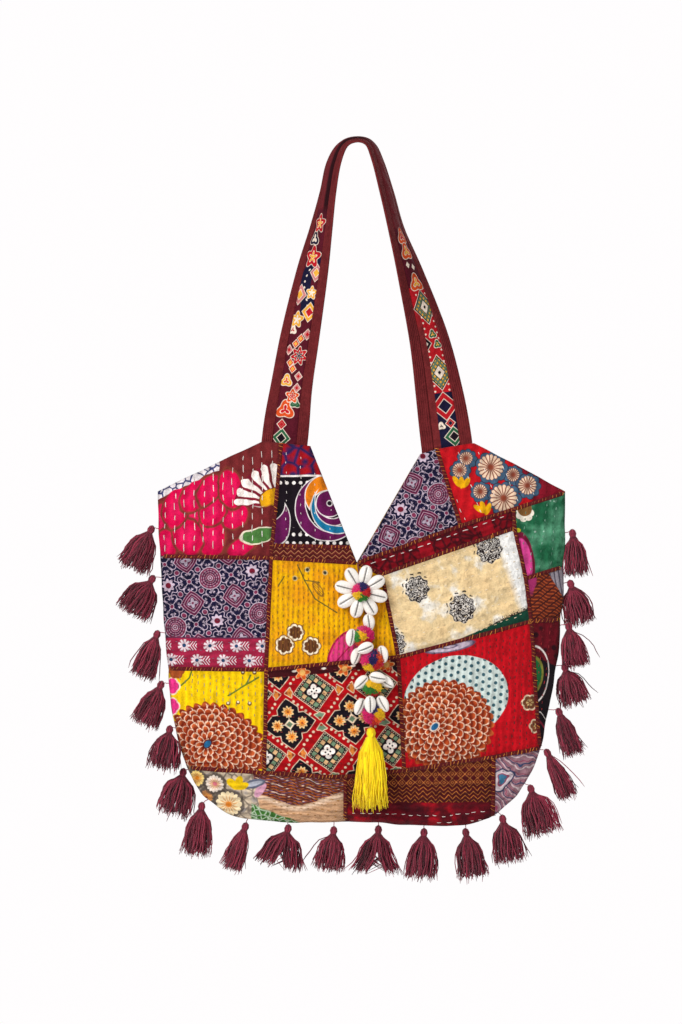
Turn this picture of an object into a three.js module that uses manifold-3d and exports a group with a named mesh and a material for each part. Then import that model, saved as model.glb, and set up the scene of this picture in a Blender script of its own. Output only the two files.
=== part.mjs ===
// A patchwork shoulder bag as it hangs by its strap, in millimetres with +Z up and the front facing -Y.
// The origin is under the ridge of the strap, where a hook carries the bag.
import * as THREE from "three";
import { mergeVertices } from "three/addons/utils/BufferGeometryUtils.js";
import Module from "manifold-3d";

const wasm = await Module();
wasm.setup();

const GAP = 0.3; // between neighbouring pieces
const WALL = 2; // patched cloth, several layers stitched through
const SEAM_HALF_GAP = 0.2; // from the middle plane to each panel at the closed seams
const HORN_HALF_GAP = 1.8; // the same where the strap is sewn in between the panels
const HORN_ENTRY = [-352, -336]; // heights between which the seam opens to take the strap
const SHOULDER_Z = -364; // corner where the side seam turns into the sloping shoulder
const SAG = { x: 88, width: 42, depth: 4, height: 55 }; // where the bottom seam hangs lowest
const STRAP_WIDTH = 48;
const STRAP_PRINT_WIDTH = 24; // the printed strip between the two bindings
const STRAP_THICKNESS = 2.4;
const STRAP_STATIONS = 33;
const TASSEL_HEAD = 4.4; // radius of a wine-red tassel's head
const TASSEL_LOCKS = 5; // lobes of its skirt
const TASSEL_FLATNESS = 0.6; // depth of a skirt over its width
const TASSEL_THREAD = 0.7;
const DANGLE_THREAD = 0.8;
const SHELL = { length: 18, width: 12, height: 8 };
const FLOWER_SHELL = { length: 23, width: 15, height: 9 };
const FLOWER = { x: 4, z: -466, shells: 8, radius: 16, pompom: 9.5 };

// Rows of values as objects with named columns, each with its own row number.
function table(columns, rows) {
  const names = columns.split(" ");
  return rows.map((values, row) => {
    const named = names.map((name, i) => [name, values[i]]);
    return { ...Object.fromEntries(named), row };
  });
}

// The bag at each height: its left and right edges, and how far the cloth bellies from the middle plane.
const BAG = table("z left right belly", [
  [-704, -78, 112, 0],
  [-699, -118, 136, 6],
  [-689, -142, 150, 11],
  [-675, -159, 165, 16],
  [-657, -171, 177, 20],
  [-627, -182, 189, 24],
  [-587, -190, 197, 27],
  [-537, -195, 205.5, 28],
  [-487, -199, 210.5, 26],
  [-427, -202.5, 213, 21],
  [-364, -205, 214.5, 10],
  [-312, -97, 117, 1],
]);

// Soft folds in the cloth: where each lies, its lean from level, its half length, half width and height.
const FOLDS = table("x z lean length width height", [
  [-52, -395, -62, 60, 14, 3],
  [62, -400, 55, 60, 14, 3],
  [5, -500, 8, 70, 22, -3],
  [-130, -400, 32, 60, 16, 2],
  [140, -420, -28, 60, 16, 2],
  [-120, -610, 40, 55, 18, -2.5],
  [125, -600, -36, 55, 18, -2.5],
  [20, -640, 4, 90, 16, 2],
]);

// The strap's middle line from the left horn over the hook to the right horn. The twist turns its
// printed face outward, the fold lets both edges droop from the ridge, and it is sewn a little wider
// toward the right horn.
const STRAP = table("x z twist fold wide", [
  [-76.5, -332, 0, 0, 0.99],
  [-74.5, -312, 0, 0, 0.99],
  [-68.6, -262, 25, 1, 1],
  [-59.7, -205, 33, 3, 1],
  [-47.8, -138, 47, 5, 1],
  [-39.3, -93, 61, 6, 1],
  [-33, -55, 70, 8, 1],
  [-26.8, -24, 72, 8, 1],
  [-16.5, -4.5, 76, 8, 1],
  [0, 1.2, 80, 8, 1],
  [15.5, -3.6, 77, 8, 1],
  [24.3, -22, 75, 8, 1],
  [33.8, -55, 72, 8, 1],
  [42.8, -93, 69, 6, 1],
  [56.5, -138, 55, 5, 1],
  [74.6, -205, 34, 3, 1.03],
  [84.9, -262, 18, 1, 1.08],
  [92, -312, 0, 0, 1.1],
  [94, -332, 0, 0, 1.1],
]);

// Where the seams of the front cross, with a few points outside the bag that its outline trims off.
const CORNER = {
  vee: [0, -437],
  hornLeftOuter: [-97, -312],
  hornLeftSeam: [-78, -313.8],
  hornLeftInner: [-48, -317],
  hornRightInner: [65, -325],
  hornRightSeam: [82, -320],
  hornRightOuter: [117, -314],
  outHornLeft: [-235, -312],
  outHornRight: [250, -314],
  stripLeft: [-87, -419],
  stripRight: [-6.4, -421],
  oneSeam: [-88, -432],
  oneOut: [-235, -430],
  twoSeam: [-93, -546],
  twoOut: [-235, -546],
  threeSeam: [-95, -652],
  threeOut: [-235, -645],
  lowSeam: [-12, -656],
  lowOut: [-12, -740],
  cornerOut: [-235, -740],
  middleHigh: [25, -448.5],
  middle: [42, -533],
  middleLow: [48, -649],
  triangleRight: [106, -399],
  stripEnd: [161, -382],
  creamTop: [161.5, -401.5],
  creamSide: [173, -453],
  creamLow: [178.5, -497],
  redLow: [188, -628],
  paisleyTop: [140, -636],
  paisleyOut: [140, -740],
  rightOutHigh: [250, -354],
  rightOutMid: [250, -430],
  rightOutLow: [250, -494],
  rightOutBase: [250, -618],
  rightCorner: [250, -740],
};

const FRONT_PATCHES = [
  ["pink_floral", 0xc2185b, "hornLeftOuter hornLeftSeam oneSeam oneOut outHornLeft"],
  ["swirl", 0x2a1a38, "hornLeftSeam hornLeftInner stripRight stripLeft"],
  ["zigzag_strip", 0x6b4028, "stripLeft stripRight vee oneSeam"],
  ["block_border", 0x5a3346, "oneOut oneSeam twoSeam twoOut"],
  ["yellow_kantha", 0xe8b414, "oneSeam vee middleHigh middle twoSeam"],
  ["dahlia_yellow", 0xe0a818, "twoOut twoSeam threeSeam threeOut"],
  ["stepped_red", 0xb0141c, "twoSeam middle middleLow lowSeam threeSeam"],
  ["daisy_field", 0xb9b19a, "threeOut threeSeam lowSeam lowOut cornerOut"],
  ["dark_zigzag", 0x4a1a22, "lowSeam middleLow paisleyTop paisleyOut lowOut"],
  ["block_triangle", 0x2c2442, "vee hornRightInner hornRightSeam triangleRight"],
  ["red_daisy", 0xc01822, "hornRightSeam hornRightOuter outHornRight rightOutHigh stripEnd triangleRight"],
  ["red_strip", 0x7a1420, "vee triangleRight stripEnd creamTop middleHigh"],
  ["green", 0x146b48, "stripEnd rightOutHigh rightOutMid creamSide creamTop"],
  ["cream", 0xead8a8, "middleHigh creamTop creamSide creamLow middle"],
  ["side_stripe", 0x8a5a3a, "creamSide rightOutMid rightOutLow creamLow"],
  ["side_dark", 0x1c2a22, "creamLow rightOutLow rightOutBase redLow"],
  ["dahlia_red", 0xc4161c, "middle creamLow redLow paisleyTop middleLow"],
  ["paisley", 0x8d8590, "paisleyTop redLow rightOutBase rightCorner paisleyOut"],
];

const BACK_CORNER = {
  ...CORNER,
  seamMiddle: [4, -552],
  seamLeft: [-235, -552],
  seamRight: [250, -552],
  seamFoot: [4, -740],
};

const BACK_PATCHES = [
  ["upper_left", 0x7a2a3a, "hornLeftOuter hornLeftInner vee seamMiddle seamLeft outHornLeft"],
  ["upper_right", 0xd8a520, "vee hornRightInner hornRightOuter outHornRight seamRight seamMiddle"],
  ["lower_left", 0x2c2442, "seamLeft seamMiddle seamFoot cornerOut"],
  ["lower_right", 0xa8181e, "seamMiddle seamRight rightCorner seamFoot"],
];

// Each wine-red tassel: its head, its sway from plumb in degrees, its length from head to tips, the
// spread of the tips, how far its skirt swings to the front and how far it parts in the middle.
const TASSELS = table("x z sway length spread front part", [
  [-212, -403, -27, 48, 31, 0, 0],
  [-211, -454, -30, 45, 35, 0, 0],
  [-206, -511, -20, 49, 25, 0, 0],
  [-202, -563, -23, 47, 28, 0, 0],
  [-193, -609, -10, 44, 32, -9, 0],
  [-179, -653, -13, 50, 36, 7, 0],
  [-160, -688, -7, 53, 28, 0, 0],
  [-115, -709, -18, 49, 18, 0, 0],
  [-71, -711, -14, 43, 40, 0, 5],
  [-24, -713, -8, 44, 30, 0, 0],
  [22, -712, -3, 47, 34, 0, 5],
  [69, -715, -4, 50, 31, 0, 0],
  [112, -715, 10, 50, 29, 0, 0],
  [150, -701, 10, 48, 31, 0, 0],
  [179, -670, 16, 52, 36, 0, 0],
  [196, -633, 26, 53, 19, 0, 0],
  [208, -591, 20, 49, 21, 0, 0],
  [214, -545, 17, 45, 29, 9, 0],
  [218, -503, 10, 46, 26, -9, 0],
  [220, -459, 16, 48, 30, 9, 0],
  [222, -407, 6, 46, 24, 0, 0],
]);

// The dangle below its flower: the pompoms down the thread, then the yellow tassel's head.
const POMPOMS = table("x z radius", [
  [6.8, -511.6, 10.5],
  [14.8, -535.5, 11.5],
  [15.5, -563.5, 9.5],
  [16.5, -589.5, 11.5],
]);
const SHELL_LINK = { x: 12, z: -497.5 };
const YELLOW_TASSEL = { x: 14, z: -609, head: 5.2, length: 78, spread: 36, locks: 8 };

// Shells tied in a cap over each pompom: the place of each from the pompom's middle and its tilt from plumb.
const CAP_SHELLS = table("pompom x z front tilt", [
  [0, -13, -1, 2, -10],
  [1, -16, 4, 1, -20],
  [1, -7, 12.5, 8, -68],
  [1, 11, 6, 0, 12],
  [2, -11.5, 5.5, 3, -48],
  [2, 5.5, 10.5, 6, 80],
  [2, 14, 6, 0, 55],
  [3, -14, 7, 2, -25],
  [3, -3.5, 9.5, 9, 2],
  [3, 9.5, 10, 5, 30],
]);

const { clamp, degToRad, lerp, smoothstep } = THREE.MathUtils;

// The value of a column between a table's rows, on a smooth curve through them.
function between(rows, key, column, at) {
  let i = 0;
  while (i < rows.length - 2 && rows[i + 1][key] < at) {
    i += 1;
  }
  const slope = (k) => {
    const before = rows[Math.max(k - 1, 0)];
    const after = rows[Math.min(k + 1, rows.length - 1)];
    return (after[column] - before[column]) / (after[key] - before[key]);
  };
  const span = rows[i + 1][key] - rows[i][key];
  const t = clamp((at - rows[i][key]) / span, 0, 1);
  const start = (1 + 2 * t) * (1 - t) ** 2 * rows[i][column] + t * (1 - t) ** 2 * span * slope(i);
  const end = t * t * (3 - 2 * t) * rows[i + 1][column] + t * t * (t - 1) * span * slope(i + 1);
  return start + end;
}

const SIDES = BAG.filter((row) => row.z <= SHOULDER_Z);
const [SHOULDER, HORN] = BAG.slice(-2);

// The left and right edge of the bag at a height: rounded sides, then straight shoulders.
function edges(z) {
  if (z <= SHOULDER_Z) {
    return ["left", "right"].map((side) => between(SIDES, "z", side, z));
  }
  const t = (z - SHOULDER.z) / (HORN.z - SHOULDER.z);
  return ["left", "right"].map((side) => lerp(SHOULDER[side], HORN[side], t));
}

// How full the bag is at a place: none at the closed seams, all across its middle.
function fullness(x, z) {
  const [left, right] = edges(z);
  const offside = Math.min(Math.abs((2 * x - left - right) / (right - left)), 1);
  return (1 - offside ** 2.6) ** 0.75;
}

// From the middle plane to the inside of a panel.
function halfDepth(x, z) {
  const seam = lerp(SEAM_HALF_GAP, HORN_HALF_GAP, smoothstep(z, ...HORN_ENTRY));
  const fold = FOLDS.reduce((sum, row) => {
    const lean = degToRad(row.lean);
    const along = ((x - row.x) * Math.cos(lean) + (z - row.z) * Math.sin(lean)) / row.length;
    const across = ((z - row.z) * Math.cos(lean) - (x - row.x) * Math.sin(lean)) / row.width;
    return sum + row.height * Math.exp(-along * along - across * across);
  }, 0);
  const belly = Math.max(between(BAG, "z", "belly", z), 0);
  return seam + fullness(x, z) * belly * (1 + fold / 28);
}

// How far the cloth hangs down near the bottom seam.
function sag(x, z) {
  const low = 1 - smoothstep(z, SIDES[0].z, SIDES[0].z + SAG.height);
  return SAG.depth * low * Math.exp(-(((x - SAG.x) / SAG.width) ** 2));
}

// The height of the front's outer face toward the viewer.
function frontFace(x, z) {
  return -halfDepth(x, z) - WALL;
}

function solid(points, triangles) {
  const build = (triVerts) => {
    const vertProperties = new Float32Array(points.flatMap((p) => [p.x, p.y, p.z]));
    return new wasm.Manifold(new wasm.Mesh({ numProp: 3, vertProperties, triVerts }));
  };
  const made = build(new Uint32Array(triangles));
  if (made.volume() > 0) {
    return made;
  }
  return build(new Uint32Array(triangles).reverse());
}

// A closed sheet between two grids of points of the same size, its two faces and the rim round them.
function sheet(face, lining) {
  const rows = face.length;
  const columns = face[0].length;
  const index = (side, i, j) => (side * rows + i) * columns + j;
  const triangles = [];
  const quad = (a, b, c, d) => triangles.push(a, b, c, a, c, d);
  for (let i = 0; i + 1 < rows; i += 1) {
    for (let j = 0; j + 1 < columns; j += 1) {
      quad(index(0, i, j), index(0, i, j + 1), index(0, i + 1, j + 1), index(0, i + 1, j));
      quad(index(1, i, j), index(1, i + 1, j), index(1, i + 1, j + 1), index(1, i, j + 1));
    }
    const j = columns - 1;
    quad(index(0, i, 0), index(0, i + 1, 0), index(1, i + 1, 0), index(1, i, 0));
    quad(index(0, i, j), index(1, i, j), index(1, i + 1, j), index(0, i + 1, j));
  }
  for (let j = 0; j + 1 < columns; j += 1) {
    const i = rows - 1;
    quad(index(0, 0, j), index(1, 0, j), index(1, 0, j + 1), index(0, 0, j + 1));
    quad(index(0, i, j), index(0, i, j + 1), index(1, i, j + 1), index(1, i, j));
  }
  return solid([...face.flat(), ...lining.flat()], triangles);
}

// A closed skin over rings of points, each end drawn in to the middle of its ring or to a given foot.
function skin(rings, foot) {
  const count = rings[0].length;
  const last = (rings.length - 1) * count;
  const middle = (ring) => ring.reduce((sum, p) => sum.add(p), new THREE.Vector3()).divideScalar(count);
  const points = [...rings.flat(), middle(rings[0]), foot ?? middle(rings.at(-1))];
  const triangles = [];
  for (let j = 0; j < count; j += 1) {
    const k = (j + 1) % count;
    for (let start = 0; start < last; start += count) {
      triangles.push(start + j, start + k, start + k + count);
      triangles.push(start + j, start + k + count, start + j + count);
    }
    triangles.push(k, j, last + count, last + j, last + k, last + count + 1);
  }
  return solid(points, triangles);
}

function fromGeometry(geometry) {
  geometry.deleteAttribute("normal");
  geometry.deleteAttribute("uv");
  const merged = mergeVertices(geometry, 1e-4);
  const position = merged.getAttribute("position");
  const points = [];
  for (let i = 0; i < position.count; i += 1) {
    points.push(new THREE.Vector3().fromBufferAttribute(position, i));
  }
  return solid(points, Array.from(merged.index.array));
}

function ball(radius, around, up) {
  return fromGeometry(new THREE.SphereGeometry(radius, around, up));
}

// A thread of four sides along a smooth line.
function thread(points, radius, steps) {
  const corners = [0, 1, 2, 3].map((k) => {
    const angle = (k / 4) * 2 * Math.PI;
    return new THREE.Vector2(Math.cos(angle) * radius, Math.sin(angle) * radius);
  });
  const extrudePath = new THREE.CatmullRomCurve3(points);
  return fromGeometry(new THREE.ExtrudeGeometry(new THREE.Shape(corners), { steps, extrudePath }));
}

function place(form, { turn = 0, spin = 0, at }) {
  return form.rotate([0, 0, spin]).rotate([0, turn, 0]).translate(at.toArray());
}

function together(forms) {
  return forms.reduce((whole, form) => whole.add(form));
}

function node(name, form, color) {
  const { vertProperties, triVerts } = form.getMesh();
  const geometry = new THREE.BufferGeometry();
  geometry.setAttribute("position", new THREE.BufferAttribute(new Float32Array(vertProperties), 3));
  geometry.setIndex(new THREE.BufferAttribute(new Uint32Array(triVerts), 1));
  geometry.computeVertexNormals();
  const mesh = new THREE.Mesh(geometry, new THREE.MeshStandardMaterial({ color, roughness: 0.9 }));
  mesh.name = name;
  return mesh;
}

function group(name, meshes) {
  const made = new THREE.Group();
  made.name = name;
  made.add(...meshes);
  return made;
}

// A whole panel before it is cut into patches, on the front with side -1 and on the back with side 1.
function panel(side) {
  const heights = [-704, -702, -697, -689, -677, -661, -640, -612, -580, -545];
  heights.push(-510, -475, -440, -408, -382, -364, -345, -325, -305);
  const steps = [0, 0.02, 0.07, 0.15, 0.25, 0.38, 0.5, 0.62, 0.75, 0.85, 0.93, 0.98, 1];
  const grid = (thickness) => heights.map((z) => {
    const [left, right] = edges(z);
    return steps.map((t) => {
      const x = lerp(left, right, t);
      return new THREE.Vector3(x, side * (halfDepth(x, z) + thickness), z - sag(x, z));
    });
  });
  return sheet(grid(WALL), grid(0));
}

// A patch's corners moved in from its seams by half a gap.
function inset(corners) {
  const points = corners.map(([x, z]) => new THREE.Vector2(x, z));
  if (THREE.ShapeUtils.area(points) < 0) {
    points.reverse();
  }
  return points.map((point, i) => {
    const into = point.clone().sub(points.at(i - 1)).normalize();
    const out = points[(i + 1) % points.length].clone().sub(point).normalize();
    const turn = into.x * out.y - into.y * out.x;
    return point.clone().add(out.sub(into).multiplyScalar(GAP / 2 / turn));
  });
}

// A patch is what its outline, pressed through the panel, cuts out of it.
function patch(whole, outline, side) {
  const prism = new THREE.ExtrudeGeometry(new THREE.Shape(outline), { depth: 90, bevelEnabled: false });
  prism.rotateX(Math.PI / 2);
  prism.translate(0, side > 0 ? 90 : 0, 0);
  return whole.intersect(fromGeometry(prism));
}

function patches(prefix, rows, corners, side) {
  const whole = panel(side);
  return rows.map(([name, color, route]) => {
    const outline = inset(route.split(" ").map((key) => corners[key]));
    return node(`${prefix}_${name}`, patch(whole, outline, side), color);
  });
}

// A lengthwise strip of the strap, from one offset to another across its width.
function strapStrip(offsets) {
  const middle = new THREE.CatmullRomCurve3(STRAP.map((row) => new THREE.Vector3(row.x, 0, row.z)));
  const face = [];
  const lining = [];
  for (let k = 0; k <= STRAP_STATIONS; k += 1) {
    const t = k / STRAP_STATIONS;
    const at = middle.getPoint(t);
    const ahead = middle.getTangent(t);
    const twist = degToRad(clamp(between(STRAP, "row", "twist", t * (STRAP.length - 1)), 0, 95));
    const fold = degToRad(between(STRAP, "row", "fold", t * (STRAP.length - 1)));
    const outward = new THREE.Vector3(-ahead.z, 0, ahead.x);
    const back = new THREE.Vector3(0, 1, 0);
    const across = outward.clone().multiplyScalar(Math.cos(twist)).addScaledVector(back, Math.sin(twist));
    const normal = outward.clone().multiplyScalar(Math.sin(twist)).addScaledVector(back, -Math.cos(twist));
    const wide = between(STRAP, "row", "wide", t * (STRAP.length - 1));
    const point = (offset, lift) => {
      const u = offset * wide;
      const side = Math.sign(u);
      const rise = lift / (side === 0 ? Math.cos(fold) : 1);
      const flat = u * Math.cos(fold) + rise * side * Math.sin(fold);
      const high = rise * (side === 0 ? 1 : Math.cos(fold)) - Math.abs(u) * Math.sin(fold);
      return at.clone().addScaledVector(across, flat).addScaledVector(normal, high);
    };
    face.push(offsets.map((u) => point(u, STRAP_THICKNESS / 2)));
    lining.push(offsets.map((u) => point(u, -STRAP_THICKNESS / 2)));
  }
  return sheet(face, lining);
}

// A tassel hung from the origin: its head, its neck and the locks of its skirt, fused in one skin. Each
// lock is a lobe of the skirt that ends in a tip, with a shorter valley on both sides of it.
function tassel({ length, spread, part }, head, locks) {
  const rings = [
    { drop: -0.85 * head, reach: 0.5 * head, depth: 0.5 * head, valley: 1 },
    { drop: 0, reach: head, depth: head, valley: 1 },
    { drop: 0.95 * head, reach: 0.6 * head, depth: 0.6 * head, valley: 1 },
    { drop: 0.5 * length, reach: 0.38 * spread, depth: 0.38 * spread * TASSEL_FLATNESS, valley: 0.8 },
    { drop: length, reach: 0.5 * spread, depth: 0.5 * spread * TASSEL_FLATNESS, valley: 0.62 },
  ];
  const made = rings.map(({ drop, reach, depth, valley }, row) => {
    const ring = [];
    for (let k = 0; k < 2 * locks; k += 1) {
      const angle = (k / locks) * Math.PI;
      const inward = k % 2 === 0 ? 1 : valley;
      const short = row < 4 ? 1 : 1 - (k % 2 === 0 ? 0.05 * (1 + Math.sin(7 * k)) : 0.14);
      const parting = Math.sign(Math.cos(angle)) * part * smoothstep(drop / length, 0.3, 0.9);
      const x = Math.cos(angle) * reach * inward + parting;
      ring.push(new THREE.Vector3(x, Math.sin(angle) * depth * inward, -drop * short));
    }
    return ring;
  });
  return skin(made, new THREE.Vector3(0, 0, -0.72 * length));
}

// The point of the side or bottom seam that is nearest to a tassel's head.
function nearestSeam(x, z) {
  const points = [];
  const bottom = SIDES[0];
  for (let height = bottom.z; height < SHOULDER_Z; height += 1.5) {
    edges(height).forEach((edge) => points.push(new THREE.Vector3(edge, 0, height - sag(edge, height))));
  }
  for (let along = bottom.left; along < bottom.right; along += 1.5) {
    points.push(new THREE.Vector3(along, 0, bottom.z - sag(along, bottom.z)));
  }
  const head = new THREE.Vector3(x, 0, z);
  return points.reduce((best, point) => (point.distanceTo(head) < best.distanceTo(head) ? point : best));
}

// A wine-red tassel on its thread, swung to its own angle.
function seamTassel(row) {
  const head = new THREE.Vector3(row.x, 0, row.z);
  const seam = nearestSeam(row.x, row.z);
  const end = seam.clone().addScaledVector(head.clone().sub(seam).normalize(), GAP);
  const swing = (Math.atan2(row.front, row.length * 0.6) * 180) / Math.PI;
  const skirt = tassel(row, TASSEL_HEAD, TASSEL_LOCKS).rotate([swing, 0, 0]);
  return place(skirt, { turn: -row.sway, at: head }).add(thread([end, head], TASSEL_THREAD, 1));
}

// A shell lying along Z with its slit toward the viewer, larger all round by the growth.
function shell({ length, width, height }, growth) {
  const rings = [-0.93, -0.45, 0.3, 0.93].map((t) => {
    const round = Math.sqrt(1 - t * t) * (1 + 0.12 * t);
    return [0, 1, 2, 3, 4, 5, 6].map((k) => {
      const angle = (k / 7) * 2 * Math.PI;
      const slit = k === 0 && growth === 0 ? 0.6 : 1;
      const x = Math.sin(angle) * (round * width * 0.5 + growth);
      const y = -Math.cos(angle) * (round * height * 0.5 + growth) * slit;
      return new THREE.Vector3(x, y, t * (length * 0.5 + growth));
    });
  });
  return skin(rings);
}

// A pompom's rough ball, every other point of it drawn out into a tuft.
function pompom(radius) {
  const geometry = new THREE.IcosahedronGeometry(radius, 1);
  const position = geometry.getAttribute("position");
  const point = new THREE.Vector3();
  for (let i = 0; i < position.count; i += 1) {
    point.fromBufferAttribute(position, i);
    const rough = Math.sin(point.x * 2.1 + 1) * Math.sin(point.y * 2.3) * Math.sin(point.z * 1.9 + 2);
    point.multiplyScalar(1 + 0.14 * rough);
    position.setXYZ(i, point.x, point.y, point.z);
  }
  return fromGeometry(geometry);
}

function pompomMiddle({ x, z, radius }) {
  return new THREE.Vector3(x, frontFace(x, z) - radius - 1.2, z);
}

// The dangle's thread: over the point of the V, behind the flower and down through the pompoms.
function dangleRoute() {
  const lying = (x, z) => new THREE.Vector3(x, frontFace(x, z) - GAP - DANGLE_THREAD - 0.8, z);
  const middles = POMPOMS.map(pompomMiddle);
  const link = new THREE.Vector3(SHELL_LINK.x, lerp(lying(8, -490).y, middles[0].y, 0.6), SHELL_LINK.z);
  const head = yellowHead();
  const end = new THREE.Vector3(head.x, head.y, head.z + YELLOW_TASSEL.head + GAP);
  return [lying(0.5, -438), lying(3, -455), lying(5, -472), lying(8, -486), link, ...middles, end];
}

function yellowHead() {
  const { x, z, spread } = YELLOW_TASSEL;
  return new THREE.Vector3(x, frontFace(x, z) - spread * 0.5 * TASSEL_FLATNESS - 3.5, z);
}

// Eight shells round one middle, laid against each other with their slits to the front.
function flower(growth) {
  const { x, z, shells, radius } = FLOWER;
  const y = frontFace(x, z) - 2 * DANGLE_THREAD - FLOWER_SHELL.height / 2 - 3.2;
  const petals = [];
  for (let k = 0; k < shells; k += 1) {
    const angle = (k / shells) * 360 + 14;
    const out = new THREE.Vector3(Math.sin(degToRad(angle)) * radius, 0, Math.cos(degToRad(angle)) * radius);
    petals.push(place(shell(FLOWER_SHELL, growth), { turn: angle, at: out.add(new THREE.Vector3(x, y, z)) }));
  }
  return { form: together(petals), middle: new THREE.Vector3(x, y, z) };
}

// The shells over one pompom, each tied by a short thread to the knot on the dangle's thread.
function shellCap(index, growth) {
  const middle = pompomMiddle(POMPOMS[index]);
  const knot = middle.clone().add(new THREE.Vector3(0, 0, POMPOMS[index].radius * 0.9));
  const forms = [ball(2 + growth, 5, 4).translate(knot.toArray())];
  CAP_SHELLS.filter((row) => row.pompom === index).forEach((row) => {
    const at = middle.clone().add(new THREE.Vector3(row.x, -row.front, row.z));
    const turn = -row.tilt;
    const spin = -Math.sign(row.x) * Math.min(Math.abs(row.x) * 2, 30);
    forms.push(place(shell(SHELL, growth), { turn, spin, at }));
    const lean = degToRad(turn);
    const top = new THREE.Vector3(Math.sin(lean), 0, Math.cos(lean)).multiplyScalar(SHELL.length * 0.4);
    forms.push(thread([knot, at.clone().add(top)], DANGLE_THREAD + growth, 1));
  });
  return together(forms);
}

function dangle() {
  const route = dangleRoute();
  const string = (growth) => thread(route, DANGLE_THREAD + growth, 26);
  const clear = string(GAP);
  const petals = flower(0);
  const centre = petals.middle.clone().add(new THREE.Vector3(0, -FLOWER_SHELL.height * 0.35, 0));
  const heart = pompom(FLOWER.pompom).translate(centre.toArray());
  const petalsClear = flower(GAP).form;
  const link = place(shell(SHELL, 0), { turn: 8, at: route[4] }).subtract(petalsClear);
  const meshes = [
    node("dangle_thread", string(0), 0xb8431e),
    node("shell_flower", petals.form.subtract(clear), 0xe8dcc4),
    node("flower_pompom", heart.subtract(petalsClear).subtract(clear), 0xb01860),
    node("shell_link", link.subtract(clear), 0xe8dcc4),
  ];
  let above = place(shell(SHELL, GAP), { turn: 8, at: route[4] }).add(petalsClear);
  POMPOMS.forEach((row, i) => {
    const cap = shellCap(i, 0).subtract(above).subtract(clear);
    const tuft = pompom(row.radius).translate(pompomMiddle(row).toArray());
    const cut = tuft.subtract(shellCap(i, GAP)).subtract(above).subtract(clear);
    meshes.push(node(`shell_cap_${i + 1}`, cap, 0xe8dcc4));
    meshes.push(node(`pompom_${i + 1}`, cut, [0x6f9a2a, 0x9a1850, 0xc8b820, 0xb02870][i]));
    above = above.add(shellCap(i, GAP)).add(pompom(row.radius + GAP).translate(pompomMiddle(row).toArray()));
  });
  const { head, locks, length, spread } = YELLOW_TASSEL;
  const yellow = tassel({ length, spread, part: 0 }, head, locks).translate(yellowHead().toArray());
  meshes.push(node("tassel_yellow", yellow.subtract(above).subtract(clear), 0xf2cf00));
  return meshes;
}

const inner = STRAP_PRINT_WIDTH / 2;
const binding = [inner + GAP, STRAP_WIDTH / 2];

const bag = group("patchwork_bag", [
  group("front_panel", patches("patch", FRONT_PATCHES, CORNER, -1)),
  group("back_panel", patches("back", BACK_PATCHES, BACK_CORNER, 1)),
  group("strap", [
    node("strap_print", strapStrip([-inner, 0, inner]), 0x8a2a2a),
    node("strap_binding_outer", strapStrip(binding), 0x732d30),
    node("strap_binding_inner", strapStrip(binding.map((u) => -u).reverse()), 0x732d30),
  ]),
  group("fringe", TASSELS.map((row) => {
    return node(`tassel_${String(row.row + 1).padStart(2, "0")}`, seamTassel(row), 0x5f192d);
  })),
  group("dangle", dangle()),
]);

export default bag;
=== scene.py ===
"""Patchwork shoulder bag with yarn tassels and a shell dangle, dressed over its CAD solids."""

import math
from functools import partialmethod

import bmesh
import bpy
import numpy as np
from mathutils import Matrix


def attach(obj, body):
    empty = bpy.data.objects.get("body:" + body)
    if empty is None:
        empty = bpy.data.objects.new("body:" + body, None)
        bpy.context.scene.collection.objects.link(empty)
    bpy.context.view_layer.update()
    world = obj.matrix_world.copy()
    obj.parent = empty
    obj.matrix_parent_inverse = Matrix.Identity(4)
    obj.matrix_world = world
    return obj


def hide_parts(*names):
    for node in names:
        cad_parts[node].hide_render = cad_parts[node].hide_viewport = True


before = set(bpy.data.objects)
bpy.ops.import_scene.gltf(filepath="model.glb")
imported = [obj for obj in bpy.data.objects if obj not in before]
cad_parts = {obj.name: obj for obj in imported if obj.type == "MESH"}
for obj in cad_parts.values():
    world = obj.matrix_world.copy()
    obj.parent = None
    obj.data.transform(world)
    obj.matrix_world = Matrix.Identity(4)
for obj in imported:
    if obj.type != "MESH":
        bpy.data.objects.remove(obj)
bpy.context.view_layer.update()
bpy.ops.object.select_all(action="DESELECT")


# Pink floral patch at the left shoulder: printed cotton with big hot pink petals, part of a white daisy
# and a leaf. As every patch it is cut to the seams, sewn to its neighbours and quilted by hand in rows of
# white running stitches, and the bag's two panels bulge apart in the middle.
MM = 0.001
FRONT = -1
BACK = 1
WALL = 2.0
CLOTH_THICKNESS = 1.7
BOTTOM = -704
BAG = np.array([  # z, left edge, right edge, belly
    (BOTTOM, -78, 112, 0),
    (-699, -118, 136, 6),
    (-689, -142, 150, 11),
    (-675, -159, 165, 16),
    (-657, -171, 177, 20),
    (-627, -182, 189, 24),
    (-587, -190, 197, 27),
    (-537, -195, 205.5, 28),
    (-487, -199, 210.5, 26),
    (-427, -202.5, 213, 21),
    (-364, -205, 214.5, 10),
    (-312, -97, 117, 1),
], float)
SHOULDER, HORN = BAG[-2], BAG[-1]
PANEL_LOW, PANEL_HIGH = (-205, BOTTOM), (215, HORN[0])
GRID_LOW, GRID_HIGH = (-210, -706), (220, -310)
SEAM_GAP, STRAP_GAP, STRAP_GAP_LOW, STRAP_GAP_HIGH = 0.2, 1.6, -352, -336
BULGE_SHAPE, BULGE_POWER, FOLD_SHARE = 2.6, 0.75, 28
SAG, SAG_X, SAG_WIDTH, SAG_HEIGHT = 4, 88, 42, 55
SEAM_SINK, SEAM_SINK_WIDTH = 1.2, 4
PUFF, PUFF_WIDTH = 1.1, 12
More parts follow.
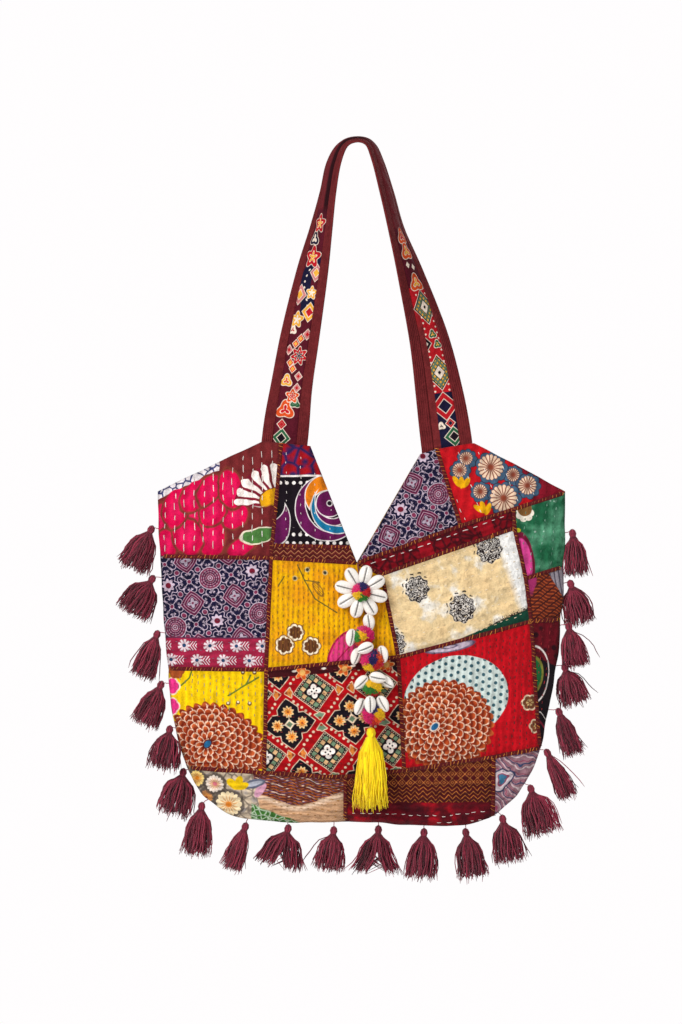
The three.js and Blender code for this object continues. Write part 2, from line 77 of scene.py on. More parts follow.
EDGE_MARGIN, SEAM_MARGIN, BOTTOM_MARGIN = 5, 4, 4
FOLDS = np.array([  # x, z, lean, length, width, height
    (-52, -395, -62, 60, 14, 3),
    (62, -400, 55, 60, 14, 3),
    (5, -500, 8, 70, 22, -3),
    (-130, -400, 32, 60, 16, 2),
    (140, -420, -28, 60, 16, 2),
    (-120, -610, 40, 55, 18, -2.5),
    (125, -600, -36, 55, 18, -2.5),
    (20, -640, 4, 90, 16, 2),
], float)
CREASES = np.array([  # wave along x, wave along z, start, height
    (0.11, 0.05, 0.3, 0.50),
    (-0.07, 0.13, 1.9, 0.48),
    (0.17, -0.12, 4.0, 0.36),
    (0.05, 0.21, 2.6, 0.32),
    (0.24, 0.09, 5.2, 0.24),
], float)
CORNERS = {
    "vee": (0, -437),
    "horn_left_outer": (-97, -312),
    "horn_left_seam": (-78, -313.8),
    "horn_left_inner": (-48, -317),
    "horn_right_inner": (65, -325),
    "horn_right_seam": (82, -320),
    "horn_right_outer": (117, -314),
    "out_horn_left": (-235, -312),
    "out_horn_right": (250, -314),
    "strip_left": (-87, -419),
    "strip_right": (-6.4, -421),
    "one_seam": (-88, -432),
    "one_out": (-235, -430),
    "two_seam": (-93, -546),
    "two_out": (-235, -546),
    "three_seam": (-95, -652),
    "three_out": (-235, -645),
    "low_seam": (-12, -656),
    "low_out": (-12, -740),
    "corner_out": (-235, -740),
    "middle_high": (25, -448.5),
    "middle": (42, -533),
    "middle_low": (48, -649),
    "triangle_right": (106, -399),
    "strip_end": (161, -382),
    "cream_top": (161.5, -401.5),
    "cream_side": (173, -453),
    "cream_low": (178.5, -497),
    "red_low": (188, -628),
    "paisley_top": (140, -636),
    "paisley_out": (140, -740),
    "right_out_high": (250, -354),
    "right_out_mid": (250, -430),
    "right_out_low": (250, -494),
    "right_out_base": (250, -618),
    "right_corner": (250, -740),
    "seam_middle": (4, -552),
    "seam_left": (-235, -552),
    "seam_right": (250, -552),
    "seam_foot": (4, -740),
}


def ease(value, low, high):
    """0 below low and 1 above high, with a smooth step between."""
    part = np.clip((value - low) / (high - low), 0, 1)
    return part * part * (3 - 2 * part)


def through(places, values, at):
    """Values at any place on a smooth curve through a table's rows."""
    inner = (values[2:] - values[:-2]) / (places[2:] - places[:-2])
    steps = np.diff(values) / np.diff(places)
    slope = np.concatenate((steps[:1], inner, steps[-1:]))
    row = np.clip(np.searchsorted(places, at) - 1, 0, len(places) - 2)
    span = places[row + 1] - places[row]
    t = np.clip((at - places[row]) / span, 0, 1)
    start = (1 + 2 * t) * (1 - t) ** 2 * values[row] + t * (1 - t) ** 2 * span * slope[row]
    end = t * t * (3 - 2 * t) * values[row + 1] + t * t * (t - 1) * span * slope[row + 1]
    return start + end


def bag_edges(z):
    """The bag's left and right edge at a height: curved sides, straight shoulders above them."""
    part = (z - SHOULDER[0]) / (HORN[0] - SHOULDER[0])
    found = []
    for column in (1, 2):
        curved = through(BAG[:-1, 0], BAG[:-1, column], z)
        straight = SHOULDER[column] + part * (HORN[column] - SHOULDER[column])
        found.append(np.where(z > SHOULDER[0], straight, curved))
    return found


def half_depth(x, z):
    """Half the hollow between the bag's panels."""
    left, right = bag_edges(z)
    off = np.clip(np.abs((2 * x - left - right) / (right - left)), 0, 1)
    fold = np.zeros_like(x)
    for fold_x, fold_z, lean, length, width, height in FOLDS:
        turn = math.radians(lean)
        along = ((x - fold_x) * math.cos(turn) + (z - fold_z) * math.sin(turn)) / length
        across = ((z - fold_z) * math.cos(turn) - (x - fold_x) * math.sin(turn)) / width
        fold = fold + height * np.exp(-along * along - across * across)
    belly = np.maximum(through(BAG[:, 0], BAG[:, 3], z), 0)
    gap = SEAM_GAP + STRAP_GAP * ease(z, STRAP_GAP_LOW, STRAP_GAP_HIGH)
    return gap + (1 - off ** BULGE_SHAPE) ** BULGE_POWER * belly * (1 + fold / FOLD_SHARE)


def on_bag(x, z, side, lift=0.0):
    """Points on the outside of a panel, in millimetres, raised off the cloth by lift."""
    x, z = np.asarray(x, float), np.asarray(z, float)
    sunk = SAG * (1 - ease(z, BOTTOM, BOTTOM + SAG_HEIGHT)) * np.exp(-(((x - SAG_X) / SAG_WIDTH) ** 2))
    normal = np.stack((
        half_depth(x - 0.5, z) - half_depth(x + 0.5, z),
        np.full_like(x, side),
        half_depth(x, z - 0.5) - half_depth(x, z + 0.5),
    ), axis=-1)
    normal[..., (0, 2)] = np.clip(normal[..., (0, 2)], -1.2, 1.2)
    normal /= np.linalg.norm(normal, axis=-1, keepdims=True)
    place = np.stack((x, side * (half_depth(x, z) + WALL), z - sunk), axis=-1)
    return place + normal * np.asarray(lift, float)[..., None]


def creases(x, z):
    """Small wrinkles of the cloth."""
    return sum(h * np.sin(kx * x + kz * z + start) for kx, kz, start, h in CREASES)


def seam_distance(x, z, corners):
    """How far points of a patch are from its nearest cut edge."""
    best = np.full(np.shape(x), 1e9)
    for start, end in zip(corners, np.roll(corners, -1, axis=0)):
        way = end - start
        part = np.clip(((x - start[0]) * way[0] + (z - start[1]) * way[1]) / way.dot(way), 0, 1)
        best = np.minimum(best, np.hypot(x - start[0] - part * way[0], z - start[1] - part * way[1]))
    return best


def relief(x, z, corners):
    """A patch sinks at its seams and puffs up between them."""
    off = seam_distance(x, z, corners)
    sink = SEAM_SINK * np.exp(-off / SEAM_SINK_WIDTH)
    return creases(x, z) - sink + PUFF * (1 - np.exp(-off / PUFF_WIDTH))


def cut_edges(corners):
    """A patch's cut edges, anticlockwise, as starts and ends."""
    left_turns = np.cross(corners, np.roll(corners, -1, axis=0)).sum() > 0
    ring = corners if left_turns else corners[::-1]
    return list(zip(ring, np.roll(ring, -1, axis=0)))


def cut_cloth(corners, step):
    """A flat grid over a patch, cut along its seams and along the bag's edge."""
    height = np.concatenate((
        np.linspace(HORN[0], SHOULDER[0], 3),
        np.linspace(-380, -690, 24),
        [-695, -699, -702, BOTTOM],
    ))
    left, right = bag_edges(height)
    outline = np.concatenate((
        np.stack((left, height), 1),
        np.stack((right, height), 1)[::-1],
    ))
    low = np.maximum(corners.min(0) - 1, GRID_LOW)
    high = np.minimum(corners.max(0) + 1, GRID_HIGH)
    cells = np.ceil((high - low) / step).astype(int)
    sheet = bmesh.new()
    bmesh.ops.create_grid(sheet, x_segments=cells[0], y_segments=cells[1], size=1)
    spread = np.array([v.co[:2] for v in sheet.verts])
    spread = low + (spread - spread.min(0)) / np.ptp(spread, axis=0) * (high - low)
    for vert, place in zip(sheet.verts, spread):
        vert.co = (place[0], place[1], 0)
    cuts = cut_edges(corners)
    for start, end in zip(outline[:-1], outline[1:]):
        way = end - start
        if np.any(way[1] * (corners[:, 0] - start[0]) - way[0] * (corners[:, 1] - start[1]) > 0):
            cuts.append((start, end))
    for start, end in cuts:
        way = end - start
        bmesh.ops.bisect_plane(
            sheet,
            geom=sheet.verts[:] + sheet.edges[:] + sheet.faces[:],
            dist=1e-3,
            plane_co=(start[0], start[1], 0),
            plane_no=(way[1], -way[0], 0),
            clear_outer=True,
        )
    sheet.verts.index_update()
    flat = np.array([v.co[:2] for v in sheet.verts])
    faces = [[v.index for v in face.verts] for face in sheet.faces]
    sheet.free()
    return flat, faces


def mesh_piece(name, points, faces, material, **marks):
    """A smooth shaded piece from points in millimetres, with numbers or colours marked on its points."""
    mesh = bpy.data.meshes.new(name)
    mesh.from_pydata((np.asarray(points).reshape(-1, 3) * MM).tolist(), [], faces)
    for mark, values in marks.items():
        values = np.asarray(values, np.float32)
        if values.ndim == 2:
            mesh.attributes.new(mark, "FLOAT_COLOR", "POINT").data.foreach_set("color", values.ravel())
        else:
            mesh.attributes.new(mark, "FLOAT", "POINT").data.foreach_set("value", values)
    mesh.shade_smooth()
    mesh.materials.append(material)
    piece = bpy.data.objects.new(name, mesh)
    bpy.context.collection.objects.link(piece)
    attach(piece, "root")
    return piece


def dye(red, green, blue):
    """A colour as the eye reads it, 0 to 255, for a shader."""
    def linear(value):
        value /= 255
        return value / 12.92 if value <= 0.04045 else ((value + 0.055) / 1.055) ** 2.4
    return (linear(red), linear(green), linear(blue), 1.0)


def feed(slot, value):
    """Set a node's input to a constant, or link a field or a socket to it."""
    if isinstance(value, Field):
        value = value.socket
    if isinstance(value, bpy.types.NodeSocket):
        slot.id_data.links.new(value, slot)
    else:
        slot.default_value = value


def node(tree, kind, **values):
    """A new node: capitalised values go to its inputs, the others are settings of its own."""
    made = tree.nodes.new("ShaderNode" + kind)
    for name, value in values.items():
        if name[0].isupper():
            feed(made.inputs[name], value)
        else:
            setattr(made, name, value)
    return made


class Field:
    """A number that varies over a cloth. Sums and functions of it become Math nodes of its print."""

    def __init__(self, tree, socket):
        self.tree = tree
        self.socket = socket

    def math(self, operation, *others, clamp=False):
        made = node(self.tree, "Math", operation=operation, use_clamp=clamp)
        for slot, value in zip(made.inputs, (self, *others)):
            feed(slot, value)
        return Field(self.tree, made.outputs[0])

    def __rsub__(self, other):
        return self.math("MULTIPLY_ADD", -1.0, other)

    __add__ = partialmethod(math, "ADD")
    __sub__ = partialmethod(math, "SUBTRACT")
    __mul__ = partialmethod(math, "MULTIPLY")
    __abs__ = partialmethod(math, "ABSOLUTE")
    cos = partialmethod(math, "COSINE")
    sin = partialmethod(math, "SINE")
    floor = partialmethod(math, "FLOOR")
    fract = partialmethod(math, "FRACT")
    low = partialmethod(math, "MINIMUM")
    high = partialmethod(math, "MAXIMUM")

    def repeat(self, size):
        """The same stretch again and again, from minus to plus half its size."""
        return self.math("WRAP", size / 2, -size / 2)

    def count(self, size):
        """Which of these stretches it is in."""
        return (self * (1 / size) + 0.5).floor()

    def edge(self, soft=0.6):
        """1 where the number is above zero, with a soft printed edge."""
        return self.math("MULTIPLY_ADD", 1 / soft, 0.5, clamp=True)

    def band(self, width):
        """Above zero along the line where the number is zero."""
        return width / 2 - abs(self)

    def line(self, width, soft=0.6):
        """1 along that line."""
        return self.band(width).edge(soft)


def reach(x, z):
    """Distance from the middle."""
    return (x * x + z * z).math("SQRT")


def angle(x, z):
    """Angle about the middle."""
    return z.math("ARCTAN2", x)


def turned(x, z, degrees):
    """The same place read on axes turned anticlockwise."""
    c, s = math.cos(math.radians(degrees)), math.sin(math.radians(degrees))
    return x * c + z * s, z * c - x * s


def lobed(x, z, lobes, deep, size):
    """Above zero inside a round shape with lobes."""
    return (angle(x, z) * lobes).cos() * deep + size - reach(x, z)


def checker(cloth, wide, tall):
    """1 in every other field of a chequer and 0 between them."""
    return abs(((cloth.x.count(wide) + cloth.z.count(tall)) * 0.5).fract()) * 2


def marked(tree, name, kind="Fac"):
    """What is marked on a mesh's points under a name."""
    return Field(tree, node(tree, "Attribute", attribute_name=name).outputs[kind])


def mix(tree, under, over, cover, kind="MIX"):
    """A colour over another one as far as cover says, or their product."""
    made = node(tree, "Mix", data_type="RGBA", blend_type=kind)
    for slot, value in zip((0, 6, 7), (cover, under, over)):
        feed(made.inputs[slot], value)
    return made.outputs[2]


def painted(name, **settings):
    """A new material with these settings on its shader, with its node tree and the shader."""
    material = bpy.data.materials.new(name)
    material.use_nodes = True
    shader = material.node_tree.nodes["Principled BSDF"]
    for setting, value in settings.items():
        feed(shader.inputs[setting.replace("_", " ")], value)
    return material, material.node_tree, shader


# Darkest and lightest multipliers of a cloth's grain together with its painted shade and highlight.
GRAIN_AND_SHADE_DARK, GRAIN_AND_SHADE_LIGHT = (0.52, 0.52, 0.52, 1.0), (1.34, 1.34, 1.34, 1.0)


class Cloth:
    """A printed cotton. Motifs are laid over its ground in turn, in mm about the print's middle."""

    def __init__(self, name, ground, middle=(0, 0), turn=0, wobble=1.6, crumple=3.6, marks=None):
        self.material, self.tree, self.shader = painted(name)
        spot = node(self.tree, "Mapping", vector_type="TEXTURE", Location=(middle[0] * MM, 0, middle[1] * MM),
                    Rotation=(0, -math.radians(turn), 0), Scale=(MM, MM, MM),
                    Vector=node(self.tree, "TexCoord").outputs["Object"])
        self.place = spot.outputs["Vector"]
        shift = node(self.tree, "VectorMath", operation="MULTIPLY_ADD")
        for slot, value in zip(shift.inputs, (self.noise(0.07, 1, "Color"), (wobble, 0, wobble), self.place)):
            feed(slot, value)
        self.warped = shift.outputs["Vector"]
        if marks:
            self.x, self.z = (marked(self.tree, m) for m in marks)
        else:
            split = node(self.tree, "SeparateXYZ", Vector=self.warped)
            self.x, self.z = (Field(self.tree, split.outputs[axis]) for axis in "XZ")
        self.wash = self.noise(0.05, 3)
        self.grain = self.noise(0.55, 2)
        self.crumple = self.noise(0.13, 3) * crumple
        self.softness = crumple
        self.ripple = None
        deep, pale = ((*(c * share for c in dye(*ground)[:3]), 1.0) for share in (0.80, 1.12))
        self.colour = mix(self.tree, deep, pale, self.wash)

    def noise(self, scale, detail, kind="Fac"):
        found = node(self.tree, "TexNoise", Scale=scale, Detail=detail, Vector=self.place)
        return Field(self.tree, found.outputs[kind])

    def cells(self, size, feature="DISTANCE_TO_EDGE"):
        """Distances in an uneven net of cells, in millimetres."""
        found = node(self.tree, "TexVoronoi", feature=feature, Scale=1 / size, Vector=self.warped)
        return Field(self.tree, found.outputs["Distance"]) * size

    def tint(self, rgb, cover):
        """Print a colour as strongly as cover says."""
        self.colour = mix(self.tree, self.colour, dye(*rgb), cover)

    def lay(self, rgb, mark, *where, soft=0.6):
        """Print a colour where a mark is above zero, as strongly as the rest says."""
        cover = mark.edge(soft)
        for part in where:
            cover = cover * part
        self.tint(rgb, cover)

    def grown(self, mark, steps, *where):
        """Print a mark several times, each time grown by a step and in its own colour."""
        for step, rgb in steps:
            self.lay(rgb, mark + step, *where)

    def rings(self, far, sizes, *where):
        """Print shapes of several sizes about one middle, each in its own colour."""
        for size, rgb in sizes:
            self.lay(rgb, size - far, *where)

    def disc(self, x, z, radius):
        return radius - reach(self.x - x, self.z - z)

    def oval(self, x, z, long, short, degrees=0):
        a, b = turned(self.x - x, self.z - z, degrees)
        return (1 - reach(a * (1 / long), b * (1 / short))) * short

    def daisy(self, x, z, outer, petals, gap):
        """Above zero inside a flower of round petals, with a gap between them or none."""
        a, b = self.x - x, self.z - z
        out = reach(a, b)
        way = angle(a, b).repeat(2 * math.pi / petals)
        tip = way * way * (-0.16 * outer * (petals / math.pi) ** 2) + outer - out
        return tip.low((math.pi / petals - abs(way)) * out - gap / 2)

    def stroke(self, x0, z0, x1, z1, width):
        """Above zero inside a straight stroke with round ends."""
        length = math.hypot(x1 - x0, z1 - z0)
        a, b = turned(self.x - x0, self.z - z0, math.degrees(math.atan2(z1 - z0, x1 - x0)))
        past = a - a.high(0.0).low(length)
        return width / 2 - reach(past, b)

    def quilt(self, lean, pitch, depth=0.42):
        """Hand quilting pulls the cloth into soft ridges between its rows of stitches."""
        across = turned(self.x, self.z, lean)[1]
        sway = (self.wash - 0.5) * (0.9 * pitch)
        self.ripple = ((across + sway) * (2 * math.pi / pitch)).cos() * depth

    def finish(self, sheen=0.06):
        """The finished cotton: printed colour and weave grain, painted shade and highlight over its crumples,
        quilting and seams, and a dull surface.
        """
        # Grain and painted light together: raised crumples painted lighter, their hollows painted darker.
        grain_and_shade = self.grain * 0.6 + self.crumple * (0.9 / self.softness) - 0.22
        # Painted shade near the seams and the bag's edges, from the seam mark.
        grain_and_shade = grain_and_shade - marked(self.tree, "seam") * 0.34
        height = self.grain * 0.35 + self.crumple
        if self.ripple:
            # Painted shade in the quilting valleys and painted highlight on the ridges between them.
            grain_and_shade = grain_and_shade + self.ripple * 0.35
            height = height + self.ripple
        # worn multiplies the print by the grain and by this painted shade and highlight.
        worn = mix(self.tree, GRAIN_AND_SHADE_DARK, GRAIN_AND_SHADE_LIGHT, grain_and_shade)
        product = mix(self.tree, self.colour, worn, 1.0, "MULTIPLY")
        bump = node(self.tree, "Bump", Distance=MM, Strength=0.9, Height=height)
        for socket, value in (
            ("Base Color", product),
            ("Normal", bump.outputs["Normal"]),
            ("Roughness", 0.88),
            ("Sheen Weight", sheen),
            ("Specular IOR Level", 0.08),
        ):
            feed(self.shader.inputs[socket], value)
        return self.material


def yarn_mesh(name, paths, radius, sides, material, **marks):
    """Round yarns along many paths at once, each closed at both ends."""
    paths = np.asarray(paths, float)
    count, length, _ = paths.shape
    tangent = np.gradient(paths, axis=1)
    tangent /= np.linalg.norm(tangent, axis=2, keepdims=True)
    aside = np.cross(tangent, (0.37, 0.81, 0.45))
    aside /= np.linalg.norm(aside, axis=2, keepdims=True)
    above = np.cross(tangent, aside)
    turn = np.arange(sides) * 2 * math.pi / sides
    ring = np.cos(turn)[:, None] * aside[:, :, None, :] + np.sin(turn)[:, None] * above[:, :, None, :]
    points = paths[:, :, None, :] + ring * np.broadcast_to(radius, (count, length))[:, :, None, None]
    index = np.arange(count * length * sides).reshape(count, length, sides)
    after = np.roll(index, -1, axis=2)
    quads = np.stack((index[:, :-1], after[:, :-1], after[:, 1:], index[:, 1:]), axis=-1).reshape(-1, 4)
    faces = quads.tolist() + index[:, 0, ::-1].tolist() + index[:, -1].tolist()
    spread = {mark: np.repeat(values, length * sides, axis=0) for mark, values in marks.items()}
    return mesh_piece(name, points, faces, material, **spread)


def yarn(name, dark, light, sheen=0.1):
    """Spun yarn: every strand has its own shade between two, with fine light and dark along it."""
    material, tree, shader = painted(name, Roughness=0.75, Sheen_Weight=sheen, Specular_IOR_Level=0.25)
    fibre = node(tree, "TexNoise", Scale=420, Vector=node(tree, "TexCoord").outputs["Object"])
    part = marked(tree, "shade") + (Field(tree, fibre.outputs["Fac"]) - 0.5) * 0.7
    colour = mix(tree, dye(*dark), dye(*light), part.math("ADD", 0.0, clamp=True))
    feed(shader.inputs["Base Color"], colour)
    return material


def quilt_rows(name, corners, thread, lean, pitch, stitch, space, side, thick, region):
    """Rows of running stitches over a patch, each stitch bedded in the cloth at both ends."""
    chance = np.random.default_rng(sum(map(ord, name)))
    c, s = math.cos(math.radians(lean)), math.sin(math.radians(lean))
    way, rise = np.array((c, s)), np.array((-s, c))
    inside = np.clip(corners, PANEL_LOW, PANEL_HIGH)
    size = np.linalg.norm(np.ptp(inside, axis=0)) / 2 + 20
    rows = np.arange(-size, size, pitch)
    steps = np.arange(-size, size, stitch + space)
    across, along = np.meshgrid(rows, steps, indexing="ij")
    across = across + chance.normal(0, 0.45, across.shape)
    along = along + chance.uniform(0, stitch + space, (len(rows), 1)) + chance.normal(0, 0.6, along.shape)
    long = stitch * chance.uniform(0.65, 1.2, along.shape)
    at = inside.mean(0) + across.ravel()[:, None] * rise + along.ravel()[:, None] * way
    tilt = chance.normal(0, 0.06, len(at))[:, None]
    half = (way + tilt * rise) * long.ravel()[:, None] / 2
    paths = np.stack((at - half, at - half * 0.45, at + half * 0.45, at + half), axis=1)
    x, z = paths[..., 0], paths[..., 1]
    left, right = bag_edges(z)
    good = (x > left + EDGE_MARGIN) & (x < right - EDGE_MARGIN) & (z > BOTTOM + BOTTOM_MARGIN)
    for start, end in cut_edges(corners):
        edge = (end - start) / np.linalg.norm(end - start)
        good &= (edge[0] * (z - start[1]) - edge[1] * (x - start[0])) > SEAM_MARGIN
    chosen = good.all(axis=1)
    if region:
        chosen &= region(at[:, 0], at[:, 1])
    x, z = x[chosen], z[chosen]
    lift = relief(x, z, corners) + np.array((-0.35, 0.28, 0.28, -0.35))
    shade = chance.uniform(0, 1, len(x))
    return yarn_mesh(name + "_stitches", on_bag(x, z, side, lift), thick, 4, thread, shade=shade)


def sew(name, corner_names, cloth, thread=None, rows=(), side=FRONT, step=2.0, thick=0.34, region=None):
    """Cut a patch from its cloth, lay it on the bag's form, give it its thickness and quilt it."""
    corners = np.array([CORNERS[c] for c in corner_names.split()], float)
    flat, faces = cut_cloth(corners, step)
    x, z = flat.T
    points = on_bag(x, z, side, relief(x, z, corners))
    left, right = bag_edges(z)
    # Closeness to the seams and the bag's edges, marked as seam: finish() darkens it there as painted shade.
    off = np.minimum(seam_distance(x, z, corners), np.maximum(np.minimum(x - left, right - x), 0))
    if side == BACK:
        faces = [face[::-1] for face in faces]
    label, solid = (name + "_patch", "patch_" + name) if side == FRONT else (name, name)
    piece = mesh_piece(label, points, faces, cloth.finish(), seam=np.exp(-off / 6))
    wall = piece.modifiers.new("cloth", "SOLIDIFY")
    wall.thickness = CLOTH_THICKNESS * MM
    wall.offset = -1
    bpy.context.view_layer.objects.active = piece
    bpy.ops.object.modifier_apply(modifier=wall.name)
    leans = (np.ptp(turned(x, z, lean), axis=1) for lean in range(0, 90, 5))
    wide, tall = min(leans, key=np.prod) * MM
    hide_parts(solid)
    name + "_cloth"
    if thread:
        quilt_rows(name, corners, thread, *rows, side, thick, region)
        name + "_cloth"


WHITE_THREAD = yarn("white_thread", (196, 186, 178), (246, 240, 232))
pink = Cloth("pink_floral_print", (112, 36, 38), middle=(-144, -378), wobble=7)
PINK_PETALS = (  # x, z, half length, half width, lean
    (-54, -12, 20, 12, 95),
    (-47, -37, 19, 13, 90),
    (28, -40, 17, 10, 30),
    (22, -8, 17, 13, 20),
    (-20, -7, 17, 13, 40),
    (-2, -28, 25, 15, 95),
    (-27, -29, 23, 16, 110),
    (-38, 1, 24, 15, 75),
    (-1, -3, 17, 14, 70),
    (-20, 13, 21, 13, 60),
    (-4, 19, 20, 12, 55),
    (18, 20, 23, 14, 100),
)
for x, z, long, short, lean in PINK_PETALS:
    petal = pink.oval(x, z, long, short, lean)
    pink.lay((120, 52, 40), petal + 0.4, soft=1.2)
    pink.lay((204, 0, 66), petal - 1.7, soft=1.6)
    pink.lay((226, 30, 96), petal - short * 0.5, 0.5, soft=7.0)
fan = (pink.z - 2).edge(2.0)
pink.lay((122, 24, 44), pink.disc(62.6, 6.5, 39), fan, (61 - pink.x - pink.z * 0.1).edge())
pink.lay((242, 230, 222), pink.daisy(62.6, 6.5, 40, 20, 3.0), fan)
pink.lay((226, 162, 16), pink.disc(62.6, 6.5, 15), fan)
pink.lay((122, 60, 34), pink.disc(62.6, 6.5, 15).band(1.2), fan)
leaf = pink.oval(47, -27, 17, 7, 14).low(pink.z * -1 - 21)
pink.grown(leaf, ((1.3, (226, 214, 190)), (0, (72, 118, 58))))
shoulder_depth = (pink.x + 60.8) * 0.434 - (pink.z - 13.7) * 0.901
shoulder = (5.0 - shoulder_depth).edge() * (6 - pink.x).edge()
pink.tint((226, 216, 218), shoulder)
pink.lay((52, 56, 104), 0.7 - pink.cells(9), (pink.wash - 0.47).edge(0.06), shoulder)
pink.quilt(90, 11)
sew("pink_floral", "horn_left_outer horn_left_seam one_seam one_out out_horn_left", pink, WHITE_THREAD,
    (90, 10, 7.0, 4.5), thick=0.45)


# Swirl patch beside the mouth: black cotton printed with curling crescents in plum, amber and blue with
# white outlines, rows of white dots, and a red end at the horn.
swirl = Cloth("swirl_print", (22, 13, 22), middle=(-27, -378))
spots = reach((swirl.x + 44).repeat(6.9), (swirl.z + 29).repeat(8.83))
swirl.lay((240, 232, 226), 1.8 - spots, (-22 - swirl.z).edge() + (swirl.z - 19).edge())
PLUM, AMBER, BLUE, LINE = (96, 20, 76), (228, 126, 20), (24, 112, 152), (232, 224, 220)
tongue = swirl.oval(-53, -17, 22, 12, 90).low(swirl.disc(-64, 2, 18.5) * -1)
swirl.grown(tongue, ((0.8, LINE), (0, PLUM)))
CRESCENTS = (  # x, z, radius, then the same of the disc cut out of it, colour
    (-2, -2, 33.4, 4.5, 2.5, 30.3, PLUM),
    (-4, 10, 21.2, 1, -5, 22.4, AMBER),
    (7, -2, 26, 10, 5, 26, BLUE),
    (4, -1, 18.5, 2.5, 3.5, 17, PLUM),
)
for x, z, size, cut_x, cut_z, cut_size, shade in CRESCENTS:
    crescent = swirl.disc(x, z, size).low(swirl.disc(cut_x, cut_z, cut_size) * -1)
    swirl.grown(crescent, ((0.9, LINE), (0, shade)))
for size, shade in ((14.3, LINE), (13.4, PLUM), (3.4, LINE), (2.5, (22, 13, 22))):
    swirl.lay(shade, swirl.disc(-0.5, 2.5, size))
red_end = (swirl.z - 31).edge()
swirl.tint((156, 16, 26), red_end)
swirl.lay((46, 30, 82), 1.6 - swirl.cells(14), (swirl.wash - 0.42).edge(0.1), red_end, soft=2.2)
swirl.lay((46, 30, 82), 4.0 - swirl.cells(13, "F1"), red_end, soft=2.6)
swirl.lay((232, 222, 216), (swirl.z - 31).band(1.8))
swirl.quilt(90, 12)
sew("swirl", "horn_left_seam horn_left_inner strip_right strip_left", swirl, WHITE_THREAD,
    (90, 15, 2.6, 7.0))


# Narrow zigzag strip under the swirl: maroon brown cotton with close rows of tan chevrons.
def zigzag(cloth, period, height, gap):
    """Rows of chevron lines."""
    return (cloth.z - abs(cloth.x.repeat(period)) * (2 * height / period)).repeat(gap)


strip = Cloth("zigzag_strip_print", (96, 28, 28), middle=(-48, -427))
strip.lay((178, 116, 76), zigzag(strip, 7.6, 3.4, 4.6).band(0.9))
strip.lay((58, 18, 20), (zigzag(strip, 7.6, 3.4, 4.6) - 1.5).band(0.8))
sew("zigzag_strip", "strip_left strip_right vee one_seam", strip)


# Block printed patch at the left: navy cotton with ringed discs and stars in turn, mauve squares between
# them and curls in the gaps, all in lilac white outlines, above a rose border of white sprigs.
NAVY, MAUVE, INK_WHITE = (22, 20, 50), (116, 42, 70), (200, 180, 196)


def block_print(cloth, size=42.0):
    """Discs and stars in turn, squares between them and curls in the gaps."""
    slant, slope = turned(cloth.x, cloth.z, 45)
    pitch = size / math.sqrt(2)
    a, b = (slant - pitch / 2).repeat(pitch), (slope - pitch / 2).repeat(pitch)
    far, near = abs(a).high(abs(b)), abs(a).low(abs(b))
    curl = reach(far - 8.6, near - 3.4) - 2.9
    leaf = reach(far - 5.4, near - 5.4) - 4.6
    cloth.lay(INK_WHITE, (0.3 - near).low(10.5 - far))
    cloth.lay(INK_WHITE, curl.band(0.55), (near * 0.7 + far - 8.2).edge())
    cloth.lay(INK_WHITE, 0.7 - reach(far - 7.2, near - 4.0))
    cloth.lay(INK_WHITE, leaf.band(0.5), (far + near - 7.4).edge(), (7.0 - far).edge())
    cloth.rings(reach(a, b), ((2.4, INK_WHITE), (1.9, MAUVE)))
    cloth.rings(reach(far - pitch / 2, near), ((2.9, INK_WHITE), (2.4, MAUVE)))
    a, b = (cloth.x - size / 2).repeat(size), (cloth.z - size / 2).repeat(size)
    square = abs(a) + abs(b) * 0.94 + reach(a, b) * 0.62 - 2.6
    cloth.rings(square, ((18.0, INK_WHITE), (17.4, MAUVE)))
    loops = (14.8, NAVY, 1.1), (12.6, INK_WHITE, 0.6), (10.2, NAVY, 0.9), (7.8, INK_WHITE, 0.6)
    for edge, ink, width in loops:
        cloth.lay(ink, (square - edge).band(width))
    petals = lobed(a, b, 4.0, 1.4, 4.0)
    cloth.lay(NAVY, petals + 0.9)
    cloth.lay(INK_WHITE, petals, 0.7)
    cloth.lay(MAUVE, 1.2 - reach(a, b))
    a, b = cloth.x.repeat(size), cloth.z.repeat(size)
    out = reach(a, b)
    odd = checker(cloth, size, size)
    cloth.grown(lobed(a, b, 8.0, 1.6, 10.2), ((0, INK_WHITE), (-0.9, NAVY)), odd)
    cloth.lay(INK_WHITE, lobed(a, b, 8.0, 1.0, 6.0), odd)
    cloth.lay((112, 24, 44), 2.9 - out, odd)
    even = 1 - odd
    cloth.rings(out, ((11.6, INK_WHITE), (10.9, MAUVE)), even)
    beads = (angle(a, b) * 15.0).cos().edge(0.5) * 0.5 + 0.1
    for edge in (8.9, 6.7, 4.5):
        cloth.lay(INK_WHITE, (out - edge).band(0.7), beads, even)
    for edge, ink, width in ((7.8, NAVY, 0.6), (5.6, NAVY, 0.6), (2.4, INK_WHITE, 0.7)):
        cloth.lay(ink, (out - edge).band(width), even)
    cloth.lay(INK_WHITE, 0.8 - out, even)


